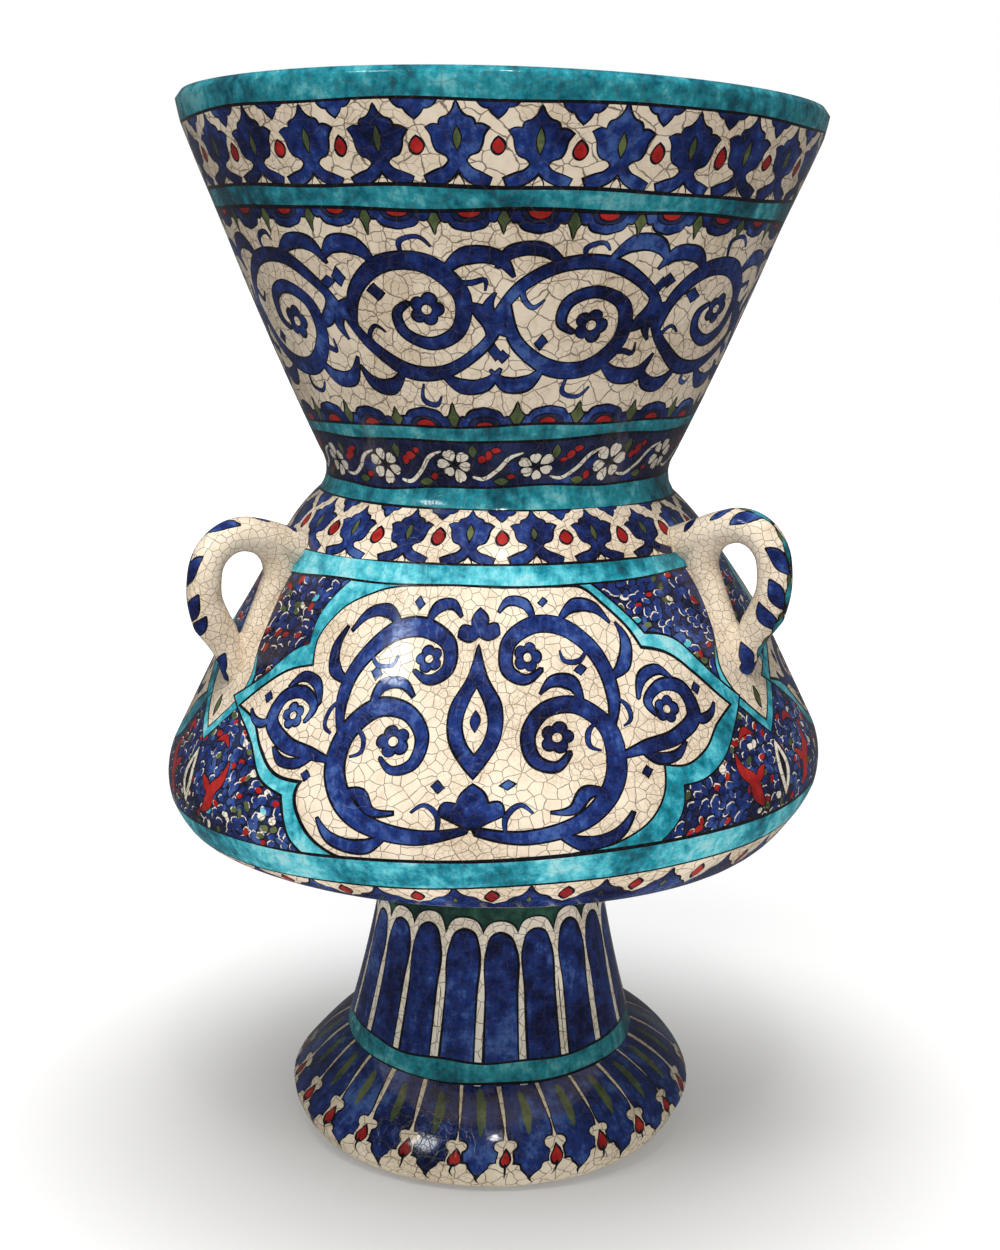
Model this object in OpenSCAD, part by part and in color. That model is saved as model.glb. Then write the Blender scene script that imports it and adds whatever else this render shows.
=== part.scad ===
// Glazed fritware mosque lamp: six thrown sections luted one on another, three loop handles,
// and the oil glass, wick holder and wick that make it a lamp.
// Millimetres, +Z up. The foot ring stands on z = 0 and one painted panel faces -Y.

/* [Foot] */
// Outer radius of the ring that the lamp stands on
foot_r = 77; // [68:0.5:84]
// Width of the flat standing ring
foot_ring_w = 10; // [7:0.5:16]
// Radius of the edge of the flaring skirt
skirt_r = 88.5; // [80:0.5:98]
// Height of that edge above the floor
skirt_edge_h = 18; // [12:0.5:22]
// How far the bevel under the edge swells outward
bevel_swell = 1; // [0.5:0.1:2]
// Height of the skirt
skirt_h = 45; // [38:0.5:56]
// How far the top of the skirt swells outward
skirt_swell = 6.75; // [3:0.25:7]
// Radius where the stem stands on the skirt
stem_base_r = 62; // [55:0.5:66]
// Radius of the stem under the bowl
stem_top_r = 48; // [42:0.5:54]
// Height of the stem
stem_h = 71; // [50:0.5:95]
// How far the side of the stem curves inward
stem_hollow = 1; // [0.5:0.1:3]

/* [Body] */
// Height of the shallow bowl, up to the turn of the belly
bowl_h = 42; // [32:0.5:55]
// Radius where the flat underside of the bowl starts to turn up
bowl_turn_r = 104; // [85:0.5:118]
// Rise of the underside from the stem out to that turn
bowl_rise = 15; // [10:0.5:22]
// How far the turn of the bowl swells outward
bowl_swell = 6.5; // [3:0.1:8]
// Radius at the turn of the belly, where the wall is luted on the bowl
belly_r = 140; // [125:0.5:155]
// Height of the rounded edge of the belly above that seam
belly_edge_h = 22; // [14:0.5:30]
// How far the belly edge swells outward
belly_swell = 2; // [1:0.1:4]
// Height of the leaning wall, from the seam to the shoulder
wall_h = 106; // [85:0.5:125]
// Height above the seam where the wall breaks to its steeper lean
wall_break_h = 66; // [45:0.5:80]
// Radius at that break
wall_break_r = 117; // [110:0.5:122]
// Radius where the shoulder is luted on the wall
wall_top_r = 92; // [84:0.5:100]
// Height of the shoulder
shoulder_h = 20; // [14:0.5:28]
// How far the shoulder swells outward
shoulder_swell = 1; // [0.5:0.1:3]

/* [Neck] */
// Radius of the seam under the waist
waist_r = 75.5; // [66:0.5:80]
// Height of the hollow of the waist
throat_h = 16; // [11:0.5:24]
// How far the waist curves inward
throat_hollow = 2.5; // [1:0.1:3.5]
// Height of the funnel, from the seam at the waist to the rim
neck_h = 166; // [130:1:200]
// Radius under the turquoise lip
lip_r = 132.5; // [115:0.5:145]
// Height of the lip
lip_h = 12.5; // [9:0.5:20]
// How far the lip leans outward over its height
lip_lean = 2; // [1:0.25:6]
// How far the funnel swells outward
neck_swell = 2; // [1:0.1:6]

/* [Wall and seams] */
// Thickness of the thrown wall
wall = 7.5; // [6:0.25:10]
// Thickness of the bowl's floor over the stem
floor_t = 10; // [8:0.5:14]
// Height of the spigot that keys each seam
spigot_h = 3; // [2:0.25:4]
// Share of the wall that the spigot takes
spigot_share = 0.38; // [0.3:0.01:0.5]
// Room left for slip around each spigot
slip_gap = 0.3; // [0.2:0.05:0.5]

/* [Handles] */
// Angle of the two front handles from the middle of the front panel
handle_az = 60; // [50:1:70]
// Radius of the bend of the loop, at the middle of the clay roll
loop_r = 16; // [14:0.25:20]
// Radius of the clay roll
roll_r = 7.2; // [6:0.1:8]
// Radius of the roll where its two ends meet on the wall
tail_r = 5.4; // [4.5:0.1:6]
// Height of the middle of the bend below the top of the wall
loop_drop = 6.5; // [2:0.5:12]
// Distance of the middle of the bend from the wall
loop_stand = 19.5; // [17:0.25:22]
// How much more upright the outer arm is than the wall
arm_spread = 14; // [8:0.5:18]
// Length of the two arms that run down to the tail
arm_l = 40; // [34:0.5:46]

/* [Oil glass and wick] */
// Radius of the oil glass at its rim
glass_r = 42; // [34:0.5:48]
// Radius of the foot of the oil glass
glass_foot_r = 34; // [26:0.5:40]
// Height of the oil glass
glass_h = 105; // [85:1:120]
// Thickness of the glass
glass_t = 3; // [2.5:0.1:4]
// Thickness of the base of the glass
glass_base_t = 6; // [4:0.5:9]
// Width of the brass strip across the glass
strip_w = 10; // [8:0.5:14]
// Thickness of the brass strip
strip_t = 1.6; // [1.2:0.1:2.5]
// Length of each hook down the outside of the glass
hook_l = 14; // [9:0.5:22]
// Room between a hook and the glass
hook_gap = 0.8; // [0.5:0.1:1.5]
// Outer radius of the wick tube
tube_r = 4; // [3.2:0.1:5]
// Radius of the wick
wick_r = 2.6; // [2:0.1:3]
// Length of the wick tube below the strip
tube_l = 48; // [30:1:60]
// Length of wick that stands above the tube
wick_up = 7; // [4:0.5:12]
// Length of wick that hangs below the tube into the oil
wick_down = 26; // [15:1:30]

/* [Hidden] */
$fn = 120;

// Heights of the seams, from the foot up
z_stem = skirt_h;
z_bowl = z_stem + stem_h;
z_wall = z_bowl + bowl_h;
z_shoulder = z_wall + wall_h;
z_neck = z_shoulder + shoulder_h;
z_rim = z_neck + neck_h;
z_floor = z_bowl + floor_t;

// Points of the outer profile as [radius, height]
p_foot = [foot_r, 0];
p_skirt = [skirt_r, skirt_edge_h];
p_stem = [stem_base_r, z_stem];
p_bowl = [stem_top_r, z_bowl];
p_turn = [bowl_turn_r, z_bowl + bowl_rise];
p_wall = [belly_r, z_wall];
p_edge = [belly_r - 1.5, z_wall + belly_edge_h];
p_break = [wall_break_r, z_wall + wall_break_h];
p_shoulder = [wall_top_r, z_shoulder];
p_neck = [waist_r, z_neck];
p_throat = [waist_r, z_neck + throat_h];
p_lip = [lip_r, z_rim - lip_h];
p_rim = [lip_r + lip_lean, z_rim - wall / 2];

// Inside step from the outer profile to the bore of the wall
inward = [-wall, 0];

// Lean of the wall behind the handles, and the middle of the loop's bend as [radius, height]
wall_lean = atan2(p_break.x - p_shoulder.x, p_shoulder.y - p_break.y);
arm_lean = wall_lean - arm_spread;
loop_c = [p_shoulder.x + tan(wall_lean) * loop_drop + loop_stand, z_shoulder - loop_drop];

z_strip = z_floor + glass_h;

ivory = [0.89, 0.84, 0.74];
clear_glass = [0.75, 0.86, 0.83, 0.5];
old_brass = [0.72, 0.56, 0.28];
cotton = [0.93, 0.90, 0.82];

// Radius of the arc that rises s above the chord from a to b
function arc_r(a, b, s) = (pow(norm(b - a) / 2, 2) + s * s) / (2 * abs(s));

// Unit normal of a rising chord, away from the axis
function outward(a, b) = [b.y - a.y, a.x - b.x] / norm(b - a);

// Middle of the arc that rises s above the chord; a negative s is a hollow
function arc_c(a, b, s) = (a + b) / 2 + outward(a, b) * (s - sign(s) * arc_r(a, b, s));

// Sliver between a chord and its arc
module arc_sliver(a, b, s) {
    n = outward(a, b) * 2 * s;
    intersection() {
        translate(arc_c(a, b, s))
            circle(r = arc_r(a, b, s), $fn = 720);
        polygon([a, b, b + n, a + n]);
    }
}

// Half section from the axis out to the line from a up to b
module coned(a, b) {
    polygon([[0, a.y], a, b, [0, b.y]]);
}

// Half section from the axis out to the arc from a up to b
module turned(a, b, s) {
    if (s > 0) {
        coned(a, b);
        arc_sliver(a, b, s);
    } else {
        difference() {
            coned(a, b);
            arc_sliver(a, b, s);
        }
    }
}

// Ring as a half section, from radius r0 to r1 and height z0 to z1
module ring(r0, r1, z0, z1) {
    translate([r0, z0])
        square([r1 - r0, z1 - z0]);
}

// Spigot that stands on the seam at p, on the inner side of the wall
module spigot(p) {
    ring(p.x - wall, p.x - wall * (1 - spigot_share), p.y, p.y + spigot_h);
}

// Socket for that spigot, with room for slip
module socket(p) {
    ring(p.x - wall - slip_gap, p.x - wall * (1 - spigot_share) + slip_gap,
        p.y, p.y + spigot_h + slip_gap);
}

// Half section of the leaning wall, moved by step
module leaning(step) {
    polygon([[0, p_edge.y], p_edge + step, p_break + step, p_shoulder + step, [0, p_shoulder.y]]);
}

module foot_skirt() {
    // the hollow follows the bevel and the dome, and opens into the bore of the stem
    hollow_edge = p_skirt - [wall + 2, 0];
    hollow_top = p_stem + inward - [2, wall + 1];
    color(ivory)
        rotate_extrude()
            union() {
                difference() {
                    union() {
                        turned(p_foot, p_skirt, bevel_swell);
                        turned(p_skirt, p_stem, skirt_swell);
                    }
                    coned(p_foot - [foot_ring_w, 0], hollow_edge);
                    turned(hollow_edge, hollow_top, skirt_swell / 2);
                    coned(hollow_top, p_stem + inward);
                }
                spigot(p_stem);
            }
}

module foot_stem() {
    color(ivory)
        rotate_extrude()
            union() {
                difference() {
                    turned(p_stem, p_bowl, -stem_hollow);
                    turned(p_stem + inward, p_bowl + inward, -stem_hollow);
                    socket(p_stem);
                }
                spigot(p_bowl);
            }
}

module belly_bowl() {
    // the hollow starts flat over the stem and follows the underside out to the seam
    hollow_turn = p_turn + [-3, floor_t * 0.85];
    color(ivory)
        rotate_extrude()
            union() {
                difference() {
                    union() {
                        polygon([[0, z_bowl], p_bowl, p_turn, [0, p_turn.y]]);
                        turned(p_turn, p_wall, bowl_swell);
                    }
                    polygon([[0, z_floor], [stem_top_r + 2, z_floor], hollow_turn, [0, hollow_turn.y]]);
                    turned(hollow_turn, p_wall + inward, bowl_swell / 2);
                    socket(p_bowl);
                }
                spigot(p_wall);
            }
}

module body_wall() {
    color(ivory)
        rotate_extrude()
            union() {
                difference() {
                    union() {
                        turned(p_wall, p_edge, belly_swell);
                        leaning([0, 0]);
                    }
                    turned(p_wall + inward, p_edge + inward, belly_swell);
                    leaning(inward);
                    socket(p_wall);
                }
                spigot(p_shoulder);
            }
}

module shoulder() {
    color(ivory)
        rotate_extrude()
            union() {
                difference() {
                    turned(p_shoulder, p_neck, shoulder_swell);
                    turned(p_shoulder + inward, p_neck + inward, shoulder_swell);
                    socket(p_shoulder);
                }
                spigot(p_neck);
            }
}

module neck_funnel() {
    color(ivory)
        rotate_extrude()
            union() {
                difference() {
                    union() {
                        turned(p_neck, p_throat, -throat_hollow);
                        turned(p_throat, p_lip, neck_swell);
                        coned(p_lip, p_rim);
                    }
                    turned(p_neck + inward, p_throat + inward, -throat_hollow);
                    turned(p_throat + inward, p_lip + inward, neck_swell);
                    coned(p_lip + inward, p_rim + inward);
                    socket(p_neck);
                }
                translate(p_rim + inward / 2)
                    intersection() {
                        circle(d = wall);
                        translate([-wall / 2, 0])
                            square(wall);
                    }
            }
}

// Point on the middle of the bend, at an angle from the outward level line
function bend(a) = loop_c + loop_r * [cos(a), sin(a)];

// Tapered roll of clay from a to b in the upright plane of the handle, set a little into what is at a
module roll(a, b, r0, r1) {
    set_in = 1.5;
    d = b - a;
    translate([a.x, 0, a.y])
        rotate([0, atan2(d.x, d.y), 0])
            translate([0, 0, -set_in])
                cylinder(h = norm(d) + set_in, r1 = r0, r2 = r1);
}

// Loop in the upright plane of +X: a bent roll, a root on the shoulder and two arms to a tail,
// cut to lie on the wall
module loop() {
    root = 112;
    from = -arm_lean;
    to = 180 + wall_lean;
    tail = bend(from) - arm_l * [sin(arm_lean), cos(arm_lean)];
    difference() {
        union() {
            translate([loop_c.x, 0, loop_c.y])
                rotate([90, -from, 0])
                    rotate_extrude(angle = to - from)
                        translate([loop_r, 0])
                            circle(r = roll_r);
            roll(bend(root), bend(root) + (loop_r + roll_r + 4) * [-sin(root), cos(root)],
                roll_r + 0.4, roll_r + 1.4);
            roll(bend(from), tail, roll_r - 0.3, tail_r);
            roll(bend(to), tail, roll_r - 0.3, tail_r);
            translate([tail.x, 0, tail.y])
                sphere(r = tail_r + 0.3);
        }
        rotate_extrude($fn = 120) {
            leaning([0, 0]);
            turned(p_shoulder, p_neck, shoulder_swell);
        }
    }
}

module handle_at(az) {
    color(ivory)
        rotate([0, 0, az - 90])
            loop($fn = 48);
}

module handle_left() {
    handle_at(-handle_az);
}

module handle_right() {
    handle_at(handle_az);
}

module handle_rear() {
    handle_at(180);
}

module oil_glass() {
    color(clear_glass)
        translate([0, 0, z_floor])
            difference() {
                cylinder(h = glass_h, r1 = glass_foot_r, r2 = glass_r);
                translate([0, 0, glass_base_t])
                    cylinder(h = glass_h, r1 = glass_foot_r - glass_t,
                        r2 = glass_r - glass_t + (glass_r - glass_foot_r) * glass_base_t / glass_h);
            }
}

module wick_holder() {
    span = glass_r + hook_gap + strip_t;
    color(old_brass)
        difference() {
            union() {
                translate([-span, -strip_w / 2, z_strip])
                    cube([2 * span, strip_w, strip_t]);
                for (side = [-1, 1])
                    translate([side * (span - strip_t / 2) - strip_t / 2, -strip_w / 2, z_strip - hook_l])
                        cube([strip_t, strip_w, hook_l + strip_t / 2]);
                translate([0, 0, z_strip - tube_l])
                    cylinder(h = tube_l + strip_t + 3, r = tube_r);
            }
            translate([0, 0, z_strip - tube_l - 1])
                cylinder(h = tube_l + strip_t + 5, r = wick_r);
        }
}

module wick() {
    color(cotton)
        translate([0, 0, z_strip - tube_l - wick_down])
            cylinder(h = wick_down + tube_l + strip_t + 3 + wick_up, r = wick_r);
}

foot_skirt();
foot_stem();
belly_bowl();
body_wall();
shoulder();
neck_funnel();
handle_left();
handle_right();
handle_rear();
oil_glass();
wick_holder();
wick();
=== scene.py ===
# %% Load the packed lamp
import math

import bpy
import numpy as np
from mathutils import Matrix, Vector
from mathutils.geometry import delaunay_2d_cdt


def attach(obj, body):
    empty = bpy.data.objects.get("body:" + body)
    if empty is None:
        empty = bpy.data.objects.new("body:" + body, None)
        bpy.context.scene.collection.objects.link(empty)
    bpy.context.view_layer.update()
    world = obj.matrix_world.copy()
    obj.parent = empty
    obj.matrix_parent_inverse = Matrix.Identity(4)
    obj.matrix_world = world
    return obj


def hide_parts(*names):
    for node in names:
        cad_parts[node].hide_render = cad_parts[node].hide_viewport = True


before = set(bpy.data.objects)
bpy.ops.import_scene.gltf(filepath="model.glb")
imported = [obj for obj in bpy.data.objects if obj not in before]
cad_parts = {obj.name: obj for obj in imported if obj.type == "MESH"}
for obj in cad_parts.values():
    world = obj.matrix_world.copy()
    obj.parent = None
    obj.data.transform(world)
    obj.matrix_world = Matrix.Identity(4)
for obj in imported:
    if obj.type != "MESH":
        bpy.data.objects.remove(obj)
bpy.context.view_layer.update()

rng = np.random.default_rng(11)

# %% [markdown]
# The camera comes first, because every later choice is judged through it. The photograph was
# taken from just under the height of the rim, looking a little down, with the picture turned by
# less than a degree. The camera stands three degrees to the right of the lamp's own front. It can
# be aimed with a constraint, but a plain matrix keeps the small turn of the picture in one place.


# %% Camera
def in_scene(name, data):
    """A new object in the scene, for a camera, a lamp or a mesh."""
    made = bpy.data.objects.new(name, data)
    bpy.context.scene.collection.objects.link(made)
    return made


SENSOR_MM, FOCAL_PX, PICTURE_PX = 36, 2070, 1250
LOOKS_DOWN, ROLLED = 10.8, 0.84
SEEN_FROM = math.radians(3.0)
eye = in_scene("eye", bpy.data.cameras.new("eye"))
eye.data.lens = SENSOR_MM * FOCAL_PX / PICTURE_PX
eye.data.shift_x = 0.004
pitch = Matrix.Rotation(math.radians(90 - LOOKS_DOWN), 4, "X")
turn = Matrix.Rotation(math.radians(ROLLED), 4, "Z")
round_lamp = Matrix.Rotation(SEEN_FROM, 4, "Z")
eye.matrix_world = round_lamp @ Matrix.Translation((0, -0.884, 0.392)) @ pitch @ turn
bpy.context.scene.camera = eye
print("camera lens", round(eye.data.lens, 1), "mm")

# %% [markdown]
# Shader maths reads best as plain Python. This small class wraps a socket: adding or multiplying
# two of them adds a Math node to the material. Every other kind of node comes from one method,
# which first sets the node's own settings and then fills its sockets with numbers or links. The
# few nodes that every finish needs, such as noise and bumps, have short methods of their own.


# %% Sockets that can be calculated with
class Socket:
    """One output of a node, with the arithmetic that adds Math nodes."""

    def __init__(self, tree, output=None):
        self.tree = tree
        self.output = output

    def node(self, kind, settings=None, sockets=None, out=0):
        """Adds a node, sets its settings, then its sockets, and gives one of its outputs."""
        made = self.tree.nodes.new("ShaderNode" + kind)
        for name, value in (settings or {}).items():
            if name == "stops":
                ramp = made.color_ramp.elements
                while len(ramp) < len(value):
                    ramp.new(1.0)
                for stop, (place, colour) in zip(ramp, value):
                    stop.position = place
                    stop.color = colour
            else:
                setattr(made, name, value)
        for key, value in (sockets or {}).items():
            self.feed(made.inputs[key], value)
        return Socket(self.tree, made.outputs[out])

    def feed(self, entry, value):
        """Links a socket into an entry, or writes a plain value there."""
        if isinstance(value, Socket):
            self.tree.links.new(value.output, entry)
        else:
            entry.default_value = value

    def dress(self, shader, sockets):
        """Feeds the sockets of a shader by their names."""
        for name, value in sockets.items():
            self.feed(shader.inputs[name], value)

    def math(self, operation, *terms):
        return self.node("Math", {"operation": operation}, dict(enumerate(terms)))

    def blend(self, share, low, high, kind="MIX"):
        """Mixes two colours by a share from 0 to 1."""
        settings = {"data_type": "RGBA", "blend_type": kind}
        return self.node("Mix", settings, {0: share, 6: low, 7: high}, out=2)

    def fade(self, start, end):
        """0 below start, 1 above end, and smooth between."""
        settings = {"interpolation_type": "SMOOTHSTEP"}
        return self.node("MapRange", settings, {0: self, 1: start, 2: end, 3: 0.0, 4: 1.0})

    def in_mm(self):
        """Where a point of the piece lies, in millimetres."""
        place = self.node("TexCoord", out="Object")
        return self.node("VectorMath", {"operation": "SCALE"}, {0: place, "Scale": 1000.0})

    def noise(self, scale, detail, roughness=0.5, place=None, out=0):
        """Clouds from 0 to 1, smaller for a larger scale."""
        sockets = {"Scale": scale, "Detail": detail, "Roughness": roughness}
        if place is not None:
            sockets["Vector"] = place
        return self.node("TexNoise", {}, sockets, out)

    def bump(self, height, strength, distance):
        """The slope of a height, as a normal. The distance is in metres."""
        return self.node("Bump", {}, {"Strength": strength, "Distance": distance, "Height": height})

    def __add__(self, other):
        return self.math("ADD", self, other)

    def __radd__(self, other):
        return self.math("ADD", other, self)

    def __sub__(self, other):
        return self.math("SUBTRACT", self, other)

    def __rsub__(self, other):
        return self.math("SUBTRACT", other, self)

    def __mul__(self, other):
        return self.math("MULTIPLY", self, other)

    def __rmul__(self, other):
        return self.math("MULTIPLY", other, self)


print("reflected forms:", [name for name in vars(Socket) if name.startswith("__r")])

# %% [markdown]
# Colours are picked on a screen, but a shader works with amounts of light. One function
# turns the first into the second. Another makes an empty material to start each finish from.


# %% Colours and materials
def ink(red, green, blue):
    """A colour picked on a screen, 0 to 255, as the linear colour that a shader works in."""
    parts = [c / 255 for c in (red, green, blue)]
    return tuple(c / 12.92 if c <= 0.04045 else ((c + 0.055) / 1.055) ** 2.4 for c in parts) + (1.0,)


def new_material(name):
    """An empty material, its shader node, and a socket to start its maths from."""
    material = bpy.data.materials.new(name)
    material.use_nodes = True
    tree = material.node_tree
    return material, tree.nodes["Principled BSDF"], Socket(tree)


print("cream in linear colour:", [round(c, 3) for c in ink(236, 224, 205)])

# %% [markdown]
# The studio is a pale floor in a white room. The room is white to the camera, but darker in
# reflections, so that the shiny glaze keeps its deep colours, as it does among few bright walls.
# The underside of the belly is lit by what a table sends back up. A glowing card does that here:
# it lies just under the floor, where the camera doesn't see it, and the floor lets its light by.

# %% Floor and room
floor_white, shader, start = new_material("floor_white")
paper = start.noise(3.0, 2.0)
centre = start.node("TexCoord", out="Object")
away = start.node("VectorMath", {"operation": "LENGTH"}, {0: centre}, out="Value")
# Painted shadow and glow: the floor glows faintly close to the lamp, for the shadow round its foot, and
# brightly far out, so that it turns white.
painted_shadow_and_glow = away.fade(0.07, 0.28) * 0.6 + away.fade(0.3, 1.4) * 0.3
start.dress(shader, {
    "Base Color": start.blend(paper, ink(152, 152, 152), ink(148, 148, 148)),
    "Roughness": 0.9,
    "Emission Color": start.blend(painted_shadow_and_glow, (0.2, 0.2, 0.2, 1), (1.2, 1.2, 1.2, 1)),
    "Emission Strength": 1.0})
card_white, shader, start = new_material("card_white")
sheen = start.noise(5.0, 2.0)
start.dress(shader, {
    "Emission Color": start.blend(sheen, (0.9, 0.88, 0.85, 1), (1.1, 1.08, 1.05, 1)),
    "Emission Strength": 0.85})

FLOOR_RADIUS, CARD_RADIUS, CARD_DEPTH, FLOOR_SIDES = 12, 0.45, 0.0005, 96
turns = np.linspace(0, 2 * math.pi, FLOOR_SIDES, endpoint=False)
circle = np.stack([np.cos(turns), np.sin(turns), 0 * turns], 1)
sunk_circle = CARD_RADIUS * circle - (0, 0, CARD_DEPTH)
stage_pieces = (("floor", FLOOR_RADIUS * circle, floor_white), ("card", sunk_circle, card_white))
for name, points, material in stage_pieces:
    mesh = bpy.data.meshes.new(name)
    mesh.from_pydata(points.tolist(), [], [tuple(range(FLOOR_SIDES))])
    mesh.materials.append(material)
    piece = in_scene(name, mesh)
    piece.visible_glossy = False
    piece.visible_diffuse = name == "card"
    piece.visible_camera = name == "floor"
    piece.visible_shadow = False

world = bpy.data.worlds.new("white_room")
bpy.context.scene.world = world
world.use_nodes = True
room = Socket(world.node_tree)
seen = room.node("LightPath", out="Is Camera Ray")
gloss = room.node("LightPath", out="Is Glossy Ray")
upward = room.node("SeparateXYZ", {}, {0: room.node("TexCoord", out="Generated")}, out="Z")
level = seen + (1 - seen) * (gloss * 0.1 + (1 - gloss) * (upward.fade(-0.5, 0.5) * 0.24 + 0.12))
room.dress(world.node_tree.nodes["Background"], {"Strength": level, "Color": (1, 1, 1, 1)})
print("floor of", FLOOR_RADIUS, "m with a card of", CARD_RADIUS, "m under it")

# %% [markdown]
# A broad lamp hangs overhead and a weaker one stands in front. Both are too large to be seen in
# the glaze as anything but a pale sheet, so they are left out of its reflections. Two small lamps
# stand in for a bulb and a window, and give the glints that tell the eye it is glass.


# %% Lamps
def soft_lamp(name, place, aim, size, watts, colour):
    """A square lamp that faces a point."""
    light = bpy.data.lights.new(name, "AREA")
    light.size = size
    light.energy = watts
    light.color = colour
    lamp = in_scene(name, light)
    lamp.location = place
    lamp.rotation_euler = (Vector(aim) - Vector(place)).to_track_quat("-Z", "Y").to_euler()
    lamp.visible_glossy = size < 0.5


soft_lamp("overhead", (-0.12, -0.75, 1.75), (0, 0, 0.2), 0.7, 23, (1.0, 0.98, 0.95))
soft_lamp("key", (0.25, -1.7, 0.9), (0, 0, 0.22), 0.9, 10, (1.0, 0.97, 0.92))
soft_lamp("glint", (0.1, -0.95, 1.75), (0, 0, 0.26), 0.1, 2.4, (1.0, 0.95, 0.88))
soft_lamp("window", (-0.9, -0.9, 1.3), (0, 0, 0.26), 0.3, 4.0, (0.92, 0.97, 1.0))
bpy.context.scene.view_settings.view_transform = "Standard"

# %% [markdown]
# The finish of the whole lamp is one clear crackled glaze over paint. The paint is put on as a
# number on each face of the mesh, one for each pigment, and this material turns the number into a
# colour. Noise gives each pigment the uneven wash of a brush. The crackle is the net of cell
# edges of a Voronoi texture, bent a little by noise so that no crack is quite straight. The colour
# is also darker the lower it lies: that is painted shade, for the shadow that the belly casts on the
# stem and the foot.

# %% Painted glaze
CREAM, COBALT, TURQUOISE, RED, GREEN, BLACK, WHITE, DEEP, TEAL, MOSS = range(10)


def crackled_glaze(name, brushed=()):
    """The glaze of all the fritware. The number on a face picks its pigment.

    On a handle, brushed names the pigments that are drawn by how deep each point lies inside a stroke.
    """
    material, shader, start = new_material(name)
    mm = start.in_mm()
    broad = start.noise(0.028, 3.0, 0.5, mm)
    wash = start.noise(0.16, 5.0, 0.62, mm)
    stroke = start.noise(0.42, 3.0, 0.7, mm)
    sheet = start.node("Attribute", {"attribute_name": "sheet"}, out="Vector")
    long = start.node("VectorMath", {"operation": "MULTIPLY"}, {0: sheet, 1: (3.0, 0.5, 1.0)})
    streak = start.noise(1.0, 4.0, 0.6, long)
    patchy = (wash * 0.7 + broad * 0.8 + stroke * 0.2 + streak * 0.2 - 0.45).fade(0.15, 0.82)

    sway = start.noise(0.18, 2.0, 0.5, mm, "Color")
    bend = {0: sway, 1: (0.55, 0.55, 0), 2: sheet}
    bent = start.node("VectorMath", {"operation": "MULTIPLY_ADD"}, bend)
    cell = {"feature": "DISTANCE_TO_EDGE", "voronoi_dimensions": "2D"}
    wide = start.node("TexVoronoi", cell, {"Vector": bent, "Scale": 1.0})
    fine = start.node("TexVoronoi", cell, {"Vector": bent, "Scale": 1.9})
    crack = 1 - wide.fade(0.014, 0.05)
    hair = (1 - fine.fade(0.012, 0.055)) * (1 - broad.fade(0.42, 0.6))
    net = start.math("MAXIMUM", crack, hair * 0.75)

    def ramp(*colours):
        stops = [(i / (len(colours) - 1), c) for i, c in enumerate(colours)]
        return start.node("ValToRGB", {"stops": stops}, {0: patchy})

    paints = {
        BLACK: ramp(ink(4, 5, 10), ink(8, 9, 17), ink(20, 23, 34)),
        COBALT: ramp(ink(3, 9, 32), ink(11, 25, 72), ink(28, 51, 116), ink(76, 108, 172)),
        TURQUOISE: ramp(ink(2, 60, 74), ink(22, 136, 156), ink(84, 190, 205), ink(168, 224, 229)),
        RED: ramp(ink(100, 12, 14), ink(154, 25, 26), ink(190, 50, 42)),
        GREEN: ramp(ink(40, 52, 34), ink(70, 84, 50), ink(112, 122, 78)),
        WHITE: ramp(ink(206, 197, 180), ink(226, 218, 204), ink(240, 234, 222)),
        DEEP: ramp(ink(10, 13, 30), ink(20, 27, 60), ink(44, 54, 96)),
        TEAL: ramp(ink(1, 44, 54), ink(12, 92, 108), ink(40, 140, 154), ink(118, 190, 196)),
        MOSS: ramp(ink(8, 26, 26), ink(20, 56, 50), ink(56, 98, 82)),
    }
    colour = ramp(ink(206, 187, 162), ink(225, 209, 187), ink(238, 225, 206))
    painted = 0.0
    pigment = None if brushed else start.node("Attribute", {"attribute_name": "pigment"}, out="Fac")
    for number, paint in paints.items():
        if brushed and number not in brushed:
            continue
        if brushed:
            depth = start.node("Attribute", {"attribute_name": brushed[number]}, out="Fac")
            chosen = depth.fade(-0.12, 0.12)
        else:
            chosen = start.math("COMPARE", pigment, float(number), 0.5)
        colour = start.blend(chosen, colour, paint)
        if number != WHITE:
            painted = painted + chosen
    stain = net * (0.8 - start.math("MINIMUM", painted, 1.0) * 0.5)
    colour = start.blend(stain, colour, ink(74, 60, 48))
    dirt = (broad * wash).fade(0.32, 0.5) * 0.22
    colour = start.blend(dirt, colour, ink(150, 124, 96), "MULTIPLY")
    # Painted shade: the colour grows darker the lower it lies, for the shadow that the belly casts on the
    # stem and the foot.
    low = 1 - start.node("SeparateXYZ", {}, {0: mm}, out="Z").fade(36, 126)
    colour = start.blend(low, colour, ink(192, 194, 192), "MULTIPLY")

    height = broad * 1.1 + wash * 0.16 + painted * 0.05 - net * 0.1
    start.dress(shader, {
        "Base Color": colour, "Roughness": 0.06 + stroke * 0.09 + net * 0.16, "IOR": 1.5,
        "Normal": start.bump(height, 0.35, 0.0012)})
    return material


glaze = crackled_glaze("painted_glaze")
print("glaze nodes:", len(glaze.node_tree.nodes))

# %% [markdown]
# A thrown pot is a line turned about an axis. Each section of the lamp is drawn as such a line,
# from arcs that say how far they swell. The drawing is in millimetres, as on a potter's template.


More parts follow.
